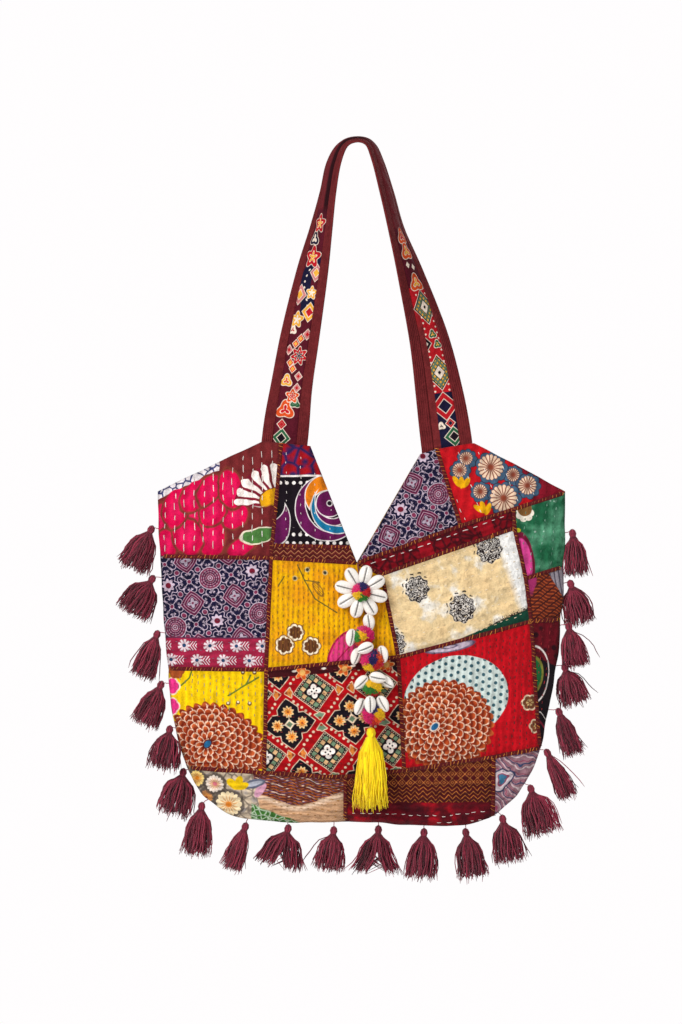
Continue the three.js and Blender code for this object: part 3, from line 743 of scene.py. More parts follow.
block = Cloth("block_border_print", NAVY, middle=(-150, -452), turn=10)
block_print(block, 44.0)
level_x, level_z = turned(block.x, block.z, -10)
border = (-61 - level_z).edge()
block.tint((152, 32, 62), border)
row = (level_z + 69).count(15)
a, b = (level_x + row * 13.5).repeat(27), (level_z + 69).repeat(15)
out = reach(a, b)
frond = 0.66 - abs(angle(a, b).repeat(2 * math.pi / 9)) * out * 0.6
petals = frond.low(6.4 - out).low(out - 3.0)
sprig = (0.5 - abs((a - abs(b) * 0.8 - 9).repeat(3.0))).low(4.4 - abs(b)).low(4.2 - abs(a - 9.6))
for mark in (petals.low(5.5 - a), sprig, 0.45 - abs(out - 2.4)):
    block.lay((226, 212, 216), mark, border)
block.lay((34, 66, 100), 1.8 - out, border)
block.lay((90, 40, 66), (level_z + 61).band(1.4))
block.quilt(0, 8)
DUSK_THREAD = yarn("dusk_thread", (60, 44, 66), (130, 104, 128))
sew("block_border", "one_out one_seam two_seam two_out", block, DUSK_THREAD, (0, 8, 2.4, 4.5))


# Yellow patch in the middle: turmeric yellow cotton quilted in close upright rows of brown thread, with a
# thin branch, three dark ringed petals and a pink leaf.
BROWN_THREAD = yarn("brown_thread", (112, 72, 24), (186, 128, 42))
yellow = Cloth("yellow_kantha_print", (240, 178, 4), middle=(-30, -490))
yellow.lay((216, 138, 14), yellow.wash - 0.5, 0.8, soft=0.2)
BRANCH = (-30, 52, -23, 36), (-23, 36, -12, 17), (-12, 17, 10, 3), (-44, 40, -50, 30), (-23, 36, -8, 34)
for ends in BRANCH:
    yellow.lay((86, 88, 34), yellow.stroke(*ends, 1.2))
leaf = yellow.oval(-9, 27, 8, 3.4, -55)
yellow.lay((150, 104, 34), leaf.band(1.0))
yellow.lay((128, 92, 34), (yellow.x + yellow.z).repeat(2.4).band(0.7), leaf.edge())
for x, z in ((-20, 47), (-2, 44), (-33, 38)):
    yellow.lay((64, 60, 56), yellow.disc(x, z, 2.2))
    yellow.lay((196, 176, 120), yellow.disc(x, z, 2.2).band(1.0))
for x, z, size in ((-43, -30, 9.6), (-32, -17, 8.6), (-16, -31, 9.2)):
    ringed = yellow.daisy(x, z, size, 7, -9.0)
    yellow.grown(ringed, ((1.2, (140, 92, 30)), (0, (240, 224, 196)), (-1.9, (104, 62, 34))))
    yellow.lay((66, 38, 26), yellow.x.repeat(3.0).band(0.9), (ringed - 2.6).edge(), 0.7)
leaf = yellow.oval(19, -36, 25, 15, 55)
yellow.grown(leaf, ((0, (168, 20, 70)), (-2.0, (214, 58, 120))))
yellow.lay((168, 20, 70), yellow.stroke(6, -50, 34, -20, 1.4))
yellow.quilt(90, 5.2)
sew("yellow_kantha", "one_seam vee middle_high middle two_seam", yellow, BROWN_THREAD, (90, 5.2, 3.2, 2.4))


# Yellow patch at the left: bright yellow cotton with grey quilting, thin branches, and a big rust dahlia
# whose rings of petals are outlined in cream.
def dahlia(cloth, x, z, middle, size, lean, rim, ring=6.2, petal=9.2):
    """Rings of overlapping round petals about a small blue eye, in an oval with a scalloped edge."""
    p, q = turned(cloth.x - middle[0], cloth.z - middle[1], lean)
    p, q = p * (1 / size[0]), q * (1 / size[1])
    inside = abs((angle(p, q) * 16.0).cos()) * 3.6 - 2.4 + (1 - reach(p, q)) * size[1]
    a, b = cloth.x - x, cloth.z - z
    out = (reach(a, b) + (cloth.wash - 0.5) * 11) * (1 / ring)
    row, inward = out.floor(), out.fract()
    count = (row * (2 * math.pi * ring / petal) + 6.0).floor()
    round_ring = angle(a, b) * (1 / (2 * math.pi)) * count + row * 0.37
    number = round_ring.floor().math("FLOORED_MODULO", count)
    lot = ((number * 12.99 + row * 78.23).sin() * 437.58).fract()
    part = round_ring.fract() - 0.5
    scale = (1 - reach(part * (lot * 0.3 + 1.85), inward * (1.16 - lot * 0.22))) * (petal / 2)
    shape, filled = inside.edge(1.2), scale.edge(1.0)
    worn = (cloth.grain * 2.6 - 0.5).low(1.0)
    outline = (lot * 0.4 + 0.25 - abs(scale)).edge(0.7)
    cloth.tint((146, 52, 24), shape)
    cloth.tint((180, 74, 32), shape * filled)
    cloth.tint((206, 100, 50), shape * filled * (lot - 0.6).edge(0.3) * 0.6)
    cloth.tint((120, 36, 16), shape * (0.42 - inward).edge(0.5) * filled)
    cloth.tint((240, 208, 180), shape * (inside - 2.2).edge(1.0) * outline * worn)
    eye = (1 - reach((a + b) * 0.16, (a - b) * 0.24)) * 4
    cloth.grown(eye, ((1.4, rim), (0, (36, 96, 140))))


GREY_THREAD = yarn("grey_thread", (104, 100, 84), (160, 152, 132))
sunny = Cloth("dahlia_yellow_print", (246, 200, 4), middle=(-140, -598))
for ends in ((9, 26, 40, 45), (27, 37, 32, 47), (-40, 36, -31, 44), (-31, 44, -29, 50)):
    sunny.lay((104, 122, 36), sunny.stroke(*ends, 1.7))
for x, z in ((9, 18), (19, 19), (31, 18), (24, 50), (36, 50)):
    sunny.lay((120, 84, 40), sunny.disc(x, z, 2.2))
    sunny.lay((238, 226, 190), sunny.disc(x, z + 0.6, 1.1))
for x, z, size in ((-50, 35, 8), (-50, 14, 8)):
    blossom = sunny.daisy(x, z, size, 5, -9.0)
    sunny.grown(blossom, ((1.4, (244, 214, 190)), (0, (232, 52, 132))))
sunny.lay((162, 76, 34), sunny.daisy(-45, 51, 9, 6, -9.0))
dahlia(sunny, -12.5, -24, (-3, -25), (52, 41), -25, (84, 28, 20))
sunny.quilt(90, 7)
sew("dahlia_yellow", "two_out two_seam three_seam three_out", sunny, GREY_THREAD,
    (90, 6.5, 4.0, 3.4), region=lambda x, z: z + 0.35 * x > -632)


# Red patch low in the middle: cotton printed like a resist dyed sari, with stepped squares between fans and
# four lobed black flowers in turn, in a slanting lattice of white dots, and a dark selvedge at the top.
STEPPED_RED = (170, 8, 18)


def stepped_print(cloth, long=48.0, short=42.0):
    """Stepped squares with fans and four lobed flowers in turn, in a lattice of dotted lines."""
    black, tan, rust = (22, 16, 24), (210, 124, 54), (150, 60, 30)
    sage, cream, pale = (106, 132, 104), (222, 200, 172), (214, 172, 124)
    a, b = cloth.x.repeat(long), cloth.z.repeat(short)
    odd = checker(cloth, long, short)
    even = 1 - odd
    rail_a, rail_b = long / 2 - abs(a), short / 2 - abs(b)
    cloth.lay(cream, 1.35 - reach(rail_a, (cloth.z + short / 16).repeat(short / 8)))
    cloth.lay(cream, 1.35 - reach(rail_b, cloth.x.repeat(long / 9)))
    cloth.lay(STEPPED_RED, 10.3 - rail_a - rail_b)
    away, aside = turned(rail_a, rail_b, 45)
    away = away - 1.8
    out = reach(away, aside)
    fan = lobed(away, aside, 9.0, 0.4, 7.4).low((0.72 - abs(angle(away, aside))) * out)
    cloth.grown(fan, ((0.8, cream), (0, sage)), even)
    cloth.lay(tan, fan, (a * b).edge(), even)
    cloth.lay(rust, 3.0 - out, fan.edge(), even)
    square = abs(a).high(abs(b))
    cloth.rings(square, ((15.5, cream), (14.8, black)), even)
    steep = (abs(a) - abs(b)).edge(0.02)
    along = b * steep + a * (1 - steep)
    cloth.lay(cream, (square - 13.7).band(0.7), along.repeat(2.6).line(1.2), even)
    brick = (1.9 - abs(along.repeat(4.8))).low(12.2 - square).low(square - 8.0)
    cloth.lay(sage, brick, even)
    cloth.lay(pale, brick, even, ((along + 2.4) * (1 / 9.6)).fract().math("GREATER_THAN", 0.5))
    cloth.lay((240, 230, 222), (3.1 - reach(abs(a) - 3.0, abs(b) - 3.0)).high(3.6 - square), even)
    cloth.lay(black, 0.95 - reach(abs(a) - 1.8, abs(b) - 1.8), even)
    p, q = (abs(slanted) for slanted in turned(a, b, 45))
    far, near = p.high(q), p.low(q)
    lobe = ((26.0 - reach(far, near * 0.6) - near * 0.85) * 0.8).low(10.4 - near)
    cloth.grown(lobe, ((0.8, cream), (0, black)), odd)
    flower = lobed(far - 12.8, near, 9.0, 0.9, 5.4)
    cloth.lay((226, 190, 136), flower, odd)
    cloth.lay((226, 136, 44), flower - 1.9, odd, soft=1.6)
    cloth.lay(rust, 1.0 - reach(far - 12.8, near), odd)
    cloth.lay(cream, (0.4 - near).low(10 - far), odd)
    cloth.lay(cream, 5.6 - far - near, odd)
    cloth.lay(sage, 3.4 - far - near, odd)


stepped = Cloth("stepped_red_print", STEPPED_RED, middle=(-43, -567.5), turn=-36)
stepped_print(stepped)
level_x, level_z = turned(stepped.x, stepped.z, 36)
selvedge = level_z * -1 + level_x * 0.096 + 26.3
stepped.lay((62, 14, 20), 9.0 - selvedge)
stepped.lay((236, 224, 210), 1.1 - reach((level_x - 10).repeat(30) * 0.45, selvedge - 4.2))
a, b = (level_x + 11.8).repeat(43), 6.4 - selvedge
bloom = lobed(a, b, 5.0, 1.8, 5.6)
stepped.grown(bloom, ((0.8, (232, 186, 130)), (0, (214, 92, 34))))
stepped.lay((232, 176, 96), 3.0 - reach(a, b), soft=1.6)
stepped.quilt(36, 8)
RED_THREAD = yarn("red_thread", (110, 12, 20), (170, 40, 46))
sew("stepped_red", "two_seam middle middle_low low_seam three_seam", stepped, RED_THREAD, (0, 8, 2.6, 4.4))


# Daisy patch in the lower left corner: grey cotton with cream daisies and a yellow leaf, a green meadow, a
# beige hill and a hatched brown field behind it.
daisy = Cloth("daisy_field_print", (208, 188, 162), middle=(-115, -675), wobble=4)
daisy.lay((104, 92, 84), 0.7 - daisy.cells(9), 0.8, soft=0.9)
daisy.lay((150, 142, 142), 3.0 - daisy.cells(12, "F1"), 0.7, soft=2.0)
hill = ((daisy.x - 10) * 0.068).cos() * 6 - 2.5
field = (daisy.x - 19 + daisy.z * 0.4).edge(1.5)
daisy.tint((92, 42, 38), field)
hatch = (daisy.x * 0.12 + daisy.z + (daisy.x * 0.35).sin() * 1.2).repeat(2.8)
daisy.lay((176, 92, 44), hatch.band(1.0), field, (daisy.x * 0.9 + daisy.z * 3).repeat(9).line(5.0))
daisy.lay((142, 112, 146), (hatch + 1.4).band(0.8), field,
          (daisy.x * 0.8 - daisy.z * 3).repeat(11).line(4.4))
daisy.lay((226, 206, 190), hatch.band(0.8), field, (daisy.x * 0.7 + daisy.z * 2.1).repeat(17).line(2.4))
beige = (hill - daisy.z).edge(1.2) * (daisy.x - 14 + daisy.z * 0.3).edge(1.2)
daisy.tint((202, 158, 120), beige)
daisy.lay((232, 204, 178), (hill - daisy.z - 3).band(5.0), beige, 0.8, soft=4.0)
daisy.lay((162, 112, 82), (daisy.z + (daisy.x * 0.09).sin() * 2).repeat(3.4).band(0.7), beige, 0.6)
meadow_edge = (daisy.x - 12) * -0.4 - 9 - daisy.z
meadow = meadow_edge.edge(1.4) * (daisy.x - 8).edge(1.4)
daisy.tint((60, 110, 44), meadow)
daisy.lay((206, 222, 196), 0.5 - daisy.cells(6), meadow, 0.7, soft=0.7)
daisy.lay((206, 150, 172), daisy.oval(18, 7, 9, 4, 50))
daisy.lay((96, 100, 118), daisy.oval(10, 13, 14, 4.6, 12))
daisy.lay((176, 178, 190), daisy.oval(10, 13, 11, 2.4, 12))
for lean in (20, 75, 140):
    leaf = math.radians(lean)
    daisy.lay((226, 184, 10), daisy.oval(-6 + 6 * math.cos(leaf), 9 + 6 * math.sin(leaf), 7.5, 4, lean))
for x, z, size, petal, eye in (
    (-38, -1, 7, (206, 140, 84), (150, 80, 40)),
    (-48, 18, 8.5, (232, 200, 120), (206, 120, 30)),
    (-29, 13, 9.5, (228, 212, 196), (204, 110, 120)),
    (-15, -8, 13.5, (236, 214, 172), (206, 120, 40)),
    (-62, 8, 8, (236, 226, 206), (214, 150, 40)),
):
    daisy.lay((76, 66, 60), daisy.disc(x, z, size + 2.6), 0.85, soft=1.6)
    daisy.lay(petal, daisy.daisy(x, z, size, 15, -1.0))
    daisy.lay((206, 134, 60), daisy.disc(x, z, size * 0.66), 0.8, soft=size * 0.3)
    daisy.lay(petal, daisy.daisy(x, z, size - 0.4, 15, 1.2))
    daisy.lay(eye, daisy.disc(x, z, size * 0.24))
daisy.quilt(0, 6)
sew("daisy_field", "three_out three_seam low_seam low_out corner_out", daisy, BROWN_THREAD,
    (-4, 6, 3.0, 4.0), region=lambda x, z: x > -90)


# Dark zigzag patch along the bottom: maroon cotton with fine gold diamonds and chevrons, over a dark red
# strip with two rows of long white running stitches.
dark = Cloth("dark_zigzag_print", (78, 20, 22), middle=(65, -660), wobble=3.5)
diamond = abs(dark.x.repeat(8.6)) + abs(dark.z.repeat(8.6))
worn = (dark.grain * 3 - 0.7).low(1.0)
dark.lay((176, 104, 44), (diamond - 1.6).band(0.8), worn)
dark.lay((190, 116, 52), (diamond - 4.3).band(0.8), worn)
chevron = (-2 - dark.z).edge()
dark.tint((70, 18, 20), chevron)
dark.lay((190, 112, 48), zigzag(dark, 8.6, 4.2, 4.4).band(0.8), chevron, worn)
low = (-21 - dark.z).edge()
dark.tint((104, 10, 24), low)
dark.lay((154, 10, 26), (dark.x - 12 + dark.z * 0.3).repeat(88).band(30), low, soft=3.0)
dark.lay((58, 8, 18), dark.wash - 0.5, low, 0.8, soft=0.12)
dark.lay((58, 10, 20), 1.2 - dark.cells(11), low, 0.4, soft=1.6)
dark.quilt(0, 8)
sew("dark_zigzag", "low_seam middle_low paisley_top paisley_out low_out", dark, WHITE_THREAD,
    (1, 8, 4.6, 3.6), region=lambda x, z: z < -687)


# Block printed triangle beside the mouth: the same navy cloth as at the left, cut on the slant.
triangle = Cloth("block_triangle_print", NAVY, middle=(6, -397), turn=22)
block_print(triangle)
triangle.quilt(-20, 8)
sew("block_triangle", "vee horn_right_inner horn_right_seam triangle_right", triangle, DUSK_THREAD,
    (62, 9, 2.4, 5.0))


# Red patch at the right shoulder: red cotton with beige daisies on slate blue shadows and yellow petals.
meadow = Cloth("red_daisy_print", (190, 18, 28), middle=(140, -365))
meadow.lay((126, 16, 34), meadow.x - 38 + meadow.z * 0.5, soft=1.5)
MEADOW_DAISIES = (  # x, z, radius
    (-27, 36, 6.6),
    (-34, 24, 7),
    (-13, 2, 7),
    (21, 19, 6.4),
    (36, 8, 9.4),
    (-2, 27, 13),
    (11, -5, 14),
)
for x, z, size in MEADOW_DAISIES:
    meadow.lay((40, 36, 50), meadow.daisy(x + 0.8, z - 0.8, size + 4.6, 9, -5.0))
    meadow.lay((62, 88, 112), meadow.daisy(x + 0.8, z - 0.8, size + 3.8, 9, -4.0))
YELLOW_PETALS = (-37, 12, 120), (-32, 11, 90), (-27, 11, 60), (-14, -16, 150), (-10, -14, 110), (-5, -16, 70)
for x, z, lean in YELLOW_PETALS:
    meadow.lay((226, 164, 10), meadow.oval(x, z, 6.4, 2.8, lean))
for x, z, size in MEADOW_DAISIES:
    meadow.lay((126, 66, 52), meadow.daisy(x, z, size + 0.6, 17, -1.0))
    meadow.lay((226, 194, 166), meadow.daisy(x, z, size, 17, 1.1))
    meadow.lay((136, 62, 42), meadow.disc(x, z, size * 0.2), soft=2.0)
meadow.quilt(80, 10)
sew("red_daisy", "horn_right_seam horn_right_outer out_horn_right right_out_high strip_end triangle_right",
    meadow, WHITE_THREAD, (112, 19, 4.0, 5.0))


# Dark red strip under the triangle: mottled cotton with dark spots, edged with white stitches.
dark_red = Cloth("red_strip_print", (120, 8, 22), middle=(85, -425))
dark_red.lay((38, 10, 18), 1.0 - dark_red.cells(9), 0.8, soft=1.4)
dark_red.lay((140, 20, 34), 1.5 - dark_red.cells(7, "F1"), soft=1.2)
dark_red.lay((154, 12, 28), (dark_red.x * 0.94 + dark_red.z * 0.34 + 12).repeat(66).band(14), 0.8)
dark_red.quilt(20, 6)
sew("red_strip", "vee triangle_right strip_end cream_top middle_high", dark_red, WHITE_THREAD,
    (19.5, 5, 5.0, 5.0), thick=0.42, region=lambda x, z: np.abs(z + 444.5 - 0.354 * x) < 2.5)


# Green patch at the right edge: clouded green cotton with pale painted highlights, one pink petal, a brown
# flower and yellow dots.
green = Cloth("green_print", (30, 94, 62), middle=(190, -408))
green.lay((92, 156, 122), green.wash - 0.52, 0.8, soft=0.2)
# Pale specks where the wash is light: painted highlights of a sheen on the cotton.
green.lay((206, 226, 214), 0.9 - green.cells(11, "F1"), (green.wash - 0.5).edge(0.1), soft=1.0)
petal = green.oval(-19, -27, 28, 11, 97)
green.grown(petal, ((1.0, (112, 20, 50)), (-1.6, (206, 66, 138))))
green.lay((160, 30, 92), green.stroke(-16, -46, -22, -6, 1.2))
green.lay((226, 216, 200), green.daisy(-17, 23, 9.5, 7, -9.0))
green.lay((128, 88, 46), green.disc(-17, 27, 7.5))
for x, z in ((-28, 14), (-24, 5)):
    green.lay((206, 200, 40), green.disc(x, z, 2.4))
green.quilt(84, 9)
GREEN_THREAD = yarn("green_thread", (20, 84, 56), (150, 190, 170))
sew("green", "strip_end right_out_high right_out_mid cream_side cream_top", green, GREEN_THREAD,
    (84, 10, 3.0, 5.0))


# Cream patch right of the dangle: soft creased cream cotton, block printed with a few dark buds, with a
# dark green wedge along its lower edge.
cream = Cloth("cream_print", (230, 204, 156), middle=(105, -467), crumple=5.0)
cream.lay((222, 180, 124), cream.wash - 0.54, 0.4, soft=0.25)
cream.lay((240, 236, 228), 0.40 - cream.wash, 0.8, soft=0.12)
cream.lay((240, 238, 234), cream.x + cream.z * 0.35 - 58, (cream.z + 18).edge(8.0), soft=8.0)
INK = (38, 30, 30)
speck = cream.noise(0.15, 3).repeat(0.11).line(0.074, 0.03)
for x, z, size in ((-43, 4, 12), (3, -16, 13), (31, 45, 13), (-66, -52, 11)):
    a, b = cream.x - x, cream.z - z
    way = angle(a, b)
    bud = (way * 9.0).cos() * 0.9 + size - reach(a, b * 0.9)
    cream.lay((238, 232, 226), bud, 0.85, soft=1.0)
    cream.lay(INK, bud, speck, soft=1.0)
    cream.lay(INK, (bud - size * 0.42).band(0.9), (way * 5.0).cos().edge(0.6))
    cream.lay(INK, (bud - 0.6).band(0.9), ((way * 23.0).cos() + 0.5).edge(0.6))
    cream.lay(INK, (bud + 2.4).band(1.4), ((way * 13.0).cos() - 0.2).edge(0.4),
              (b * 0.6 - a * 0.4 - 3).edge(3.0))
wedge = cream.x * 0.42 - cream.z - 47
cream.lay(INK, wedge + 5 - speck * 4, (cream.x - 30).edge(3.0), soft=2.0)
cream.lay((20, 66, 50), wedge, (cream.x + 22).edge(4.0))
cream.quilt(20, 9, 0.2)
CREAM_THREAD = yarn("cream_thread", (206, 178, 132), (244, 230, 204))
sew("cream", "middle_high cream_top cream_side cream_low middle", cream, CREAM_THREAD, (20, 9, 2.8, 4.6))


# Striped patch at the right edge: brown cotton hatched in orange, with grey stripes.
stripe = Cloth("side_stripe_print", (98, 36, 26), middle=(192, -462))
stripe.lay((166, 76, 36),
           (stripe.x * 0.35 + stripe.z + (stripe.x * 0.4).sin()).repeat(3.6).band(1.1))
stripe.lay((60, 24, 22), (stripe.z - stripe.x * 0.8).repeat(8).band(1.6))
grey = (stripe.x * 0.8 + stripe.z * 0.5 - 12).edge()
stripe.tint((142, 134, 142), grey)
stripe.lay((156, 44, 96), -9 - stripe.x + (stripe.z * 0.2).sin() * 2, (stripe.z + 6).edge(8.0),
           soft=1.5)
stripe.lay((78, 72, 84), (stripe.x * 0.9 + stripe.z * 0.15).repeat(4.2).band(1.3), grey)
sew("side_stripe", "cream_side right_out_mid right_out_low cream_low", stripe)


# Dark patch at the right edge: dark red and black cotton with a green disc in a white line.
night = Cloth("side_dark_print", (26, 18, 24), middle=(192, -560))
night.lay((96, 14, 26), night.z - 24 + night.x * 0.5, soft=1.5)
night.lay((44, 12, 20), 3.0 - night.cells(9, "F1"), (night.z - 24).edge(2.0), soft=1.6)
disc = night.oval(-12, 8, 19, 11, 84)
night.lay((222, 212, 206), (disc + 6.6).band(1.1))
night.lay((30, 96, 52), disc)
night.lay((120, 120, 50), disc.band(2.0))
night.lay((222, 212, 206), (night.z + 34 + (night.x * 0.4).sin() * 4).band(1.1))
night.lay((120, 30, 50), (night.z + 44 + (night.x * 0.4).sin() * 4).band(3.0))
night.quilt(84, 8)
sew("side_dark", "cream_low right_out_low right_out_base red_low", night, RED_THREAD, (84, 8, 2.8, 4.4))


# Red patch at the right: red cotton with a spotted disc, a rust dahlia and small ringed flowers, quilted in
# upright rows of black thread.
BLACK_THREAD = yarn("black_thread", (26, 14, 16), (70, 30, 34))
poppy = Cloth("dahlia_red_print", (188, 12, 26), middle=(108, -575))
lens = poppy.oval(-13, 53.5, 23, 5, 10)
poppy.grown(lens, ((0.8, (94, 84, 110)), (0, (196, 178, 194))))
poppy.lay((94, 84, 110), lens.repeat(3.4).band(0.8), lens.edge())
spotted = poppy.oval(-6, 1, 54, 43, 14)
poppy.lay((198, 210, 204), spotted)
spot_x, spot_z = turned(poppy.x, poppy.z, 25)
spot_row = spot_z.count(6.6)
dot = reach((spot_x + spot_row * 3.8).repeat(7.6), spot_z.repeat(6.6))
poppy.lay((54, 88, 98), 1.85 - dot, spotted.edge())
dahlia(poppy, -28, -28, (-18, -27), (50, 46), 0, (216, 200, 186))
for x, z, size in ((70, -4.5, 9), (77, -29, 8)):
    ringed = poppy.daisy(x, z, size, 6, -9.0)
    poppy.grown(ringed, ((0, (226, 200, 168)), (-1.6, (122, 70, 44)), (-5.0, (214, 180, 120))))
poppy.quilt(88, 7)
sew("dahlia_red", "middle cream_low red_low paisley_top middle_low", poppy, BLACK_THREAD,
    (88, 7, 3.4, 3.4), region=lambda x, z: np.hypot(x - 106, z + 581) > 50)


# Paisley patch in the lower right corner: pale dusty cotton with blue grey curving lines and a drop.
paisley = Cloth("paisley_print", (154, 114, 124), middle=(160, -665), wobble=16)
wave = (paisley.x * 0.16).sin() * 5 + paisley.x * 0.6
paisley.lay((54, 66, 98), (paisley.z + wave).repeat(10).band(1.3))
paisley.lay((204, 182, 186), (paisley.z + wave + 3).repeat(10).band(1.5))
paisley.lay((140, 60, 84), (paisley.z + wave - 2.6).repeat(10).band(0.8))
paisley.grown(paisley.oval(-3, 14, 11, 7.5, 35), (
    (2.4, (54, 60, 90)), (0.8, (206, 190, 196)), (-3.0, (140, 60, 84)), (-4.2, (58, 110, 140))))
paisley.quilt(30, 8)
sew("paisley", "paisley_top red_low right_out_base right_corner paisley_out", paisley, DUSK_THREAD,
    (30, 9, 2.6, 5.0))


# Back panel: four larger patches of plain and spotted cotton, sewn crosswise and quilted like the front.
plum = Cloth("back_upper_left_print", (122, 40, 54), middle=(-90, -460))
a, b = (plum.x + plum.z.count(18) * 12).repeat(24), plum.z.repeat(18)
plum.lay((236, 222, 210), abs((angle(a, b) * 2.5).cos()) * 3.4 + 1.4 - reach(a, b))
plum.lay((222, 150, 40), 1.4 - reach(a, b))
plum.quilt(0, 8)
gold = Cloth("back_upper_right_print", (236, 180, 34), middle=(110, -460))
a, b = (gold.x + gold.z.count(15) * 10).repeat(20), gold.z.repeat(15)
gold.lay((186, 40, 50), 3.0 - reach(a, b))
gold.lay((120, 128, 52), 1.5 - reach(a - 5, b * 0.5 - 1.5))
gold.quilt(0, 8)
indigo = Cloth("back_lower_left_print", NAVY, middle=(-90, -630))
block_print(indigo)
indigo.quilt(0, 8)
madder = Cloth("back_lower_right_print", (176, 26, 36), middle=(110, -630))
a, b = (madder.x + madder.z).repeat(16), (madder.x - madder.z).repeat(16)
madder.lay((240, 226, 210), 1.6 - reach(a, b))
madder.lay((90, 18, 30), (abs(a) + abs(b) - 12).band(1.2))
madder.quilt(0, 8)
for name, names, print_cloth, thread in (
    ("back_upper_left", "horn_left_outer horn_left_inner vee seam_middle seam_left out_horn_left", plum,
     WHITE_THREAD),
    ("back_upper_right", "vee horn_right_inner horn_right_outer out_horn_right seam_right seam_middle", gold,
     BROWN_THREAD),
    ("back_lower_left", "seam_left seam_middle seam_foot corner_out", indigo, WHITE_THREAD),
    ("back_lower_right", "seam_middle seam_right right_corner seam_foot", madder, WHITE_THREAD),
):
    sew(name, names, print_cloth, thread, (0, 8, 3.0, 5.0), BACK, 3.0)


# Seam tapes: narrow maroon tapes that cover the raw joints between the patches, oversewn by hand with gold
# thread at close uneven steps.
FRONT_SEAMS = (
    "horn_left_seam strip_left one_seam two_seam three_seam",
    "one_out one_seam",
    "strip_left strip_right",
    "one_seam vee",
    "two_out two_seam middle",
    "three_out three_seam low_seam middle_low paisley_top red_low right_out_base",
    "vee middle_high middle middle_low",
    "low_seam low_out",
    "paisley_top paisley_out",
    "vee triangle_right strip_end right_out_high",
    "horn_right_seam triangle_right",
    "middle_high cream_top",
    "strip_end cream_top cream_side cream_low red_low",
    "middle cream_low",
    "cream_side right_out_mid",
    "cream_low right_out_low",
)
BACK_SEAMS = ("vee seam_middle seam_foot", "seam_left seam_middle seam_right")
TAPE_MARGIN = 1.5


def joined(parts):
    """Points and faces of several meshes as one."""
    points, faces, start = [], [], 0
    for part, part_faces in parts:
        faces += [[start + v for v in face] for face in part_faces]
        points.append(part.reshape(-1, 3))
        start += len(points[-1])
    return np.concatenate(points), faces


def seam_line(names, step):
    """Even places along a seam inside the bag's edge, with the way across it."""
    ends = np.array([CORNERS[n] for n in names.split()], float)
    run = np.concatenate(([0], np.cumsum(np.linalg.norm(np.diff(ends, axis=0), axis=1))))
    at = np.linspace(0, run[-1], max(int(run[-1] / step), 2) + 1)
    place = np.stack([np.interp(at, run, ends[:, k]) for k in (0, 1)], axis=1)
    about = np.clip(at[:, None] + np.array((-4, 0, 4)), 0, run[-1])
    soft = np.stack([np.interp(about, run, ends[:, k]).mean(1) for k in (0, 1)], axis=1)
    left, right = bag_edges(place[:, 1])
    x, z = place.T
    inside = (x > left + TAPE_MARGIN) & (x < right - TAPE_MARGIN) & (z > BOTTOM + TAPE_MARGIN)
    way = np.gradient(soft, axis=0)
    way /= np.linalg.norm(way, axis=1, keepdims=True)
    return soft[inside], np.stack((-way[:, 1], way[:, 0]), axis=1)[inside]


def loft(sections):
    """Faces of a closed skin through rings of points that run round the way of travel."""
    rows, around = sections.shape[:2]
    index = np.arange(rows * around).reshape(rows, around)
    after = np.roll(index, -1, axis=1)
    quads = np.stack((index[:-1], after[:-1], after[1:], index[1:]), axis=-1).reshape(-1, 4)
    return quads.tolist() + [index[0, ::-1].tolist(), index[-1].tolist()]


tape_material = Cloth("seam_tape", (88, 24, 28), wobble=0).finish()
GOLD_THREAD = yarn("gold_thread", (96, 36, 20), (220, 138, 48))
TAPE_RING = np.array([  # across, lift
    (2.3, -1.3),
    (1.9, -0.2),
    (0.9, 0.3),
    (-0.9, 0.3),
    (-1.9, -0.2),
    (-2.3, -1.3),
    (0.0, -1.6),
])
TAPE_STEP = 4.0
STITCH_STEP = 3.9
for label, side, seams in (("front", FRONT, FRONT_SEAMS), ("back", BACK, BACK_SEAMS)):
    tapes, stitches = [], []
    chance = np.random.default_rng(5)
    ring = TAPE_RING[::-side]
    for names in seams:
        place, across = seam_line(names, TAPE_STEP)
        x = place[:, 0, None] + across[:, 0, None] * ring[:, 0]
        z = place[:, 1, None] + across[:, 1, None] * ring[:, 0]
        section = on_bag(x, z, side, creases(x, z) + ring[:, 1])
        tapes.append((section, loft(section)))
        place, across = seam_line(names, STITCH_STEP)
        along = np.stack((across[:, 1], -across[:, 0]), axis=1)
        each = (len(place), 1)
        aside = np.array((-1.0, -0.55, 0.55, 1.0)) * chance.uniform(1.4, 2.7, each)
        aside = aside + chance.normal(0, 0.3, each)
        slant = chance.normal(0.9, 0.5, each)
        shift = np.array((-0.9, -0.5, 0.5, 0.9)) * slant + chance.normal(0, 0.7, each)
        spot = place[:, None] + across[:, None] * aside[..., None] + along[:, None] * shift[..., None]
        x, z = spot[..., 0], spot[..., 1]
        stitches.append(on_bag(x, z, side, creases(x, z) + np.array((-1.0, 0.4, 0.4, -1.0))))
    mesh_piece("seam_tape_" + label, *joined(tapes), tape_material)
    stitches = np.concatenate(stitches)
    shade = chance.uniform(0, 1, len(stitches))
    yarn_mesh("oversewing_" + label, stitches, 0.32, 4, GOLD_THREAD, shade=shade)


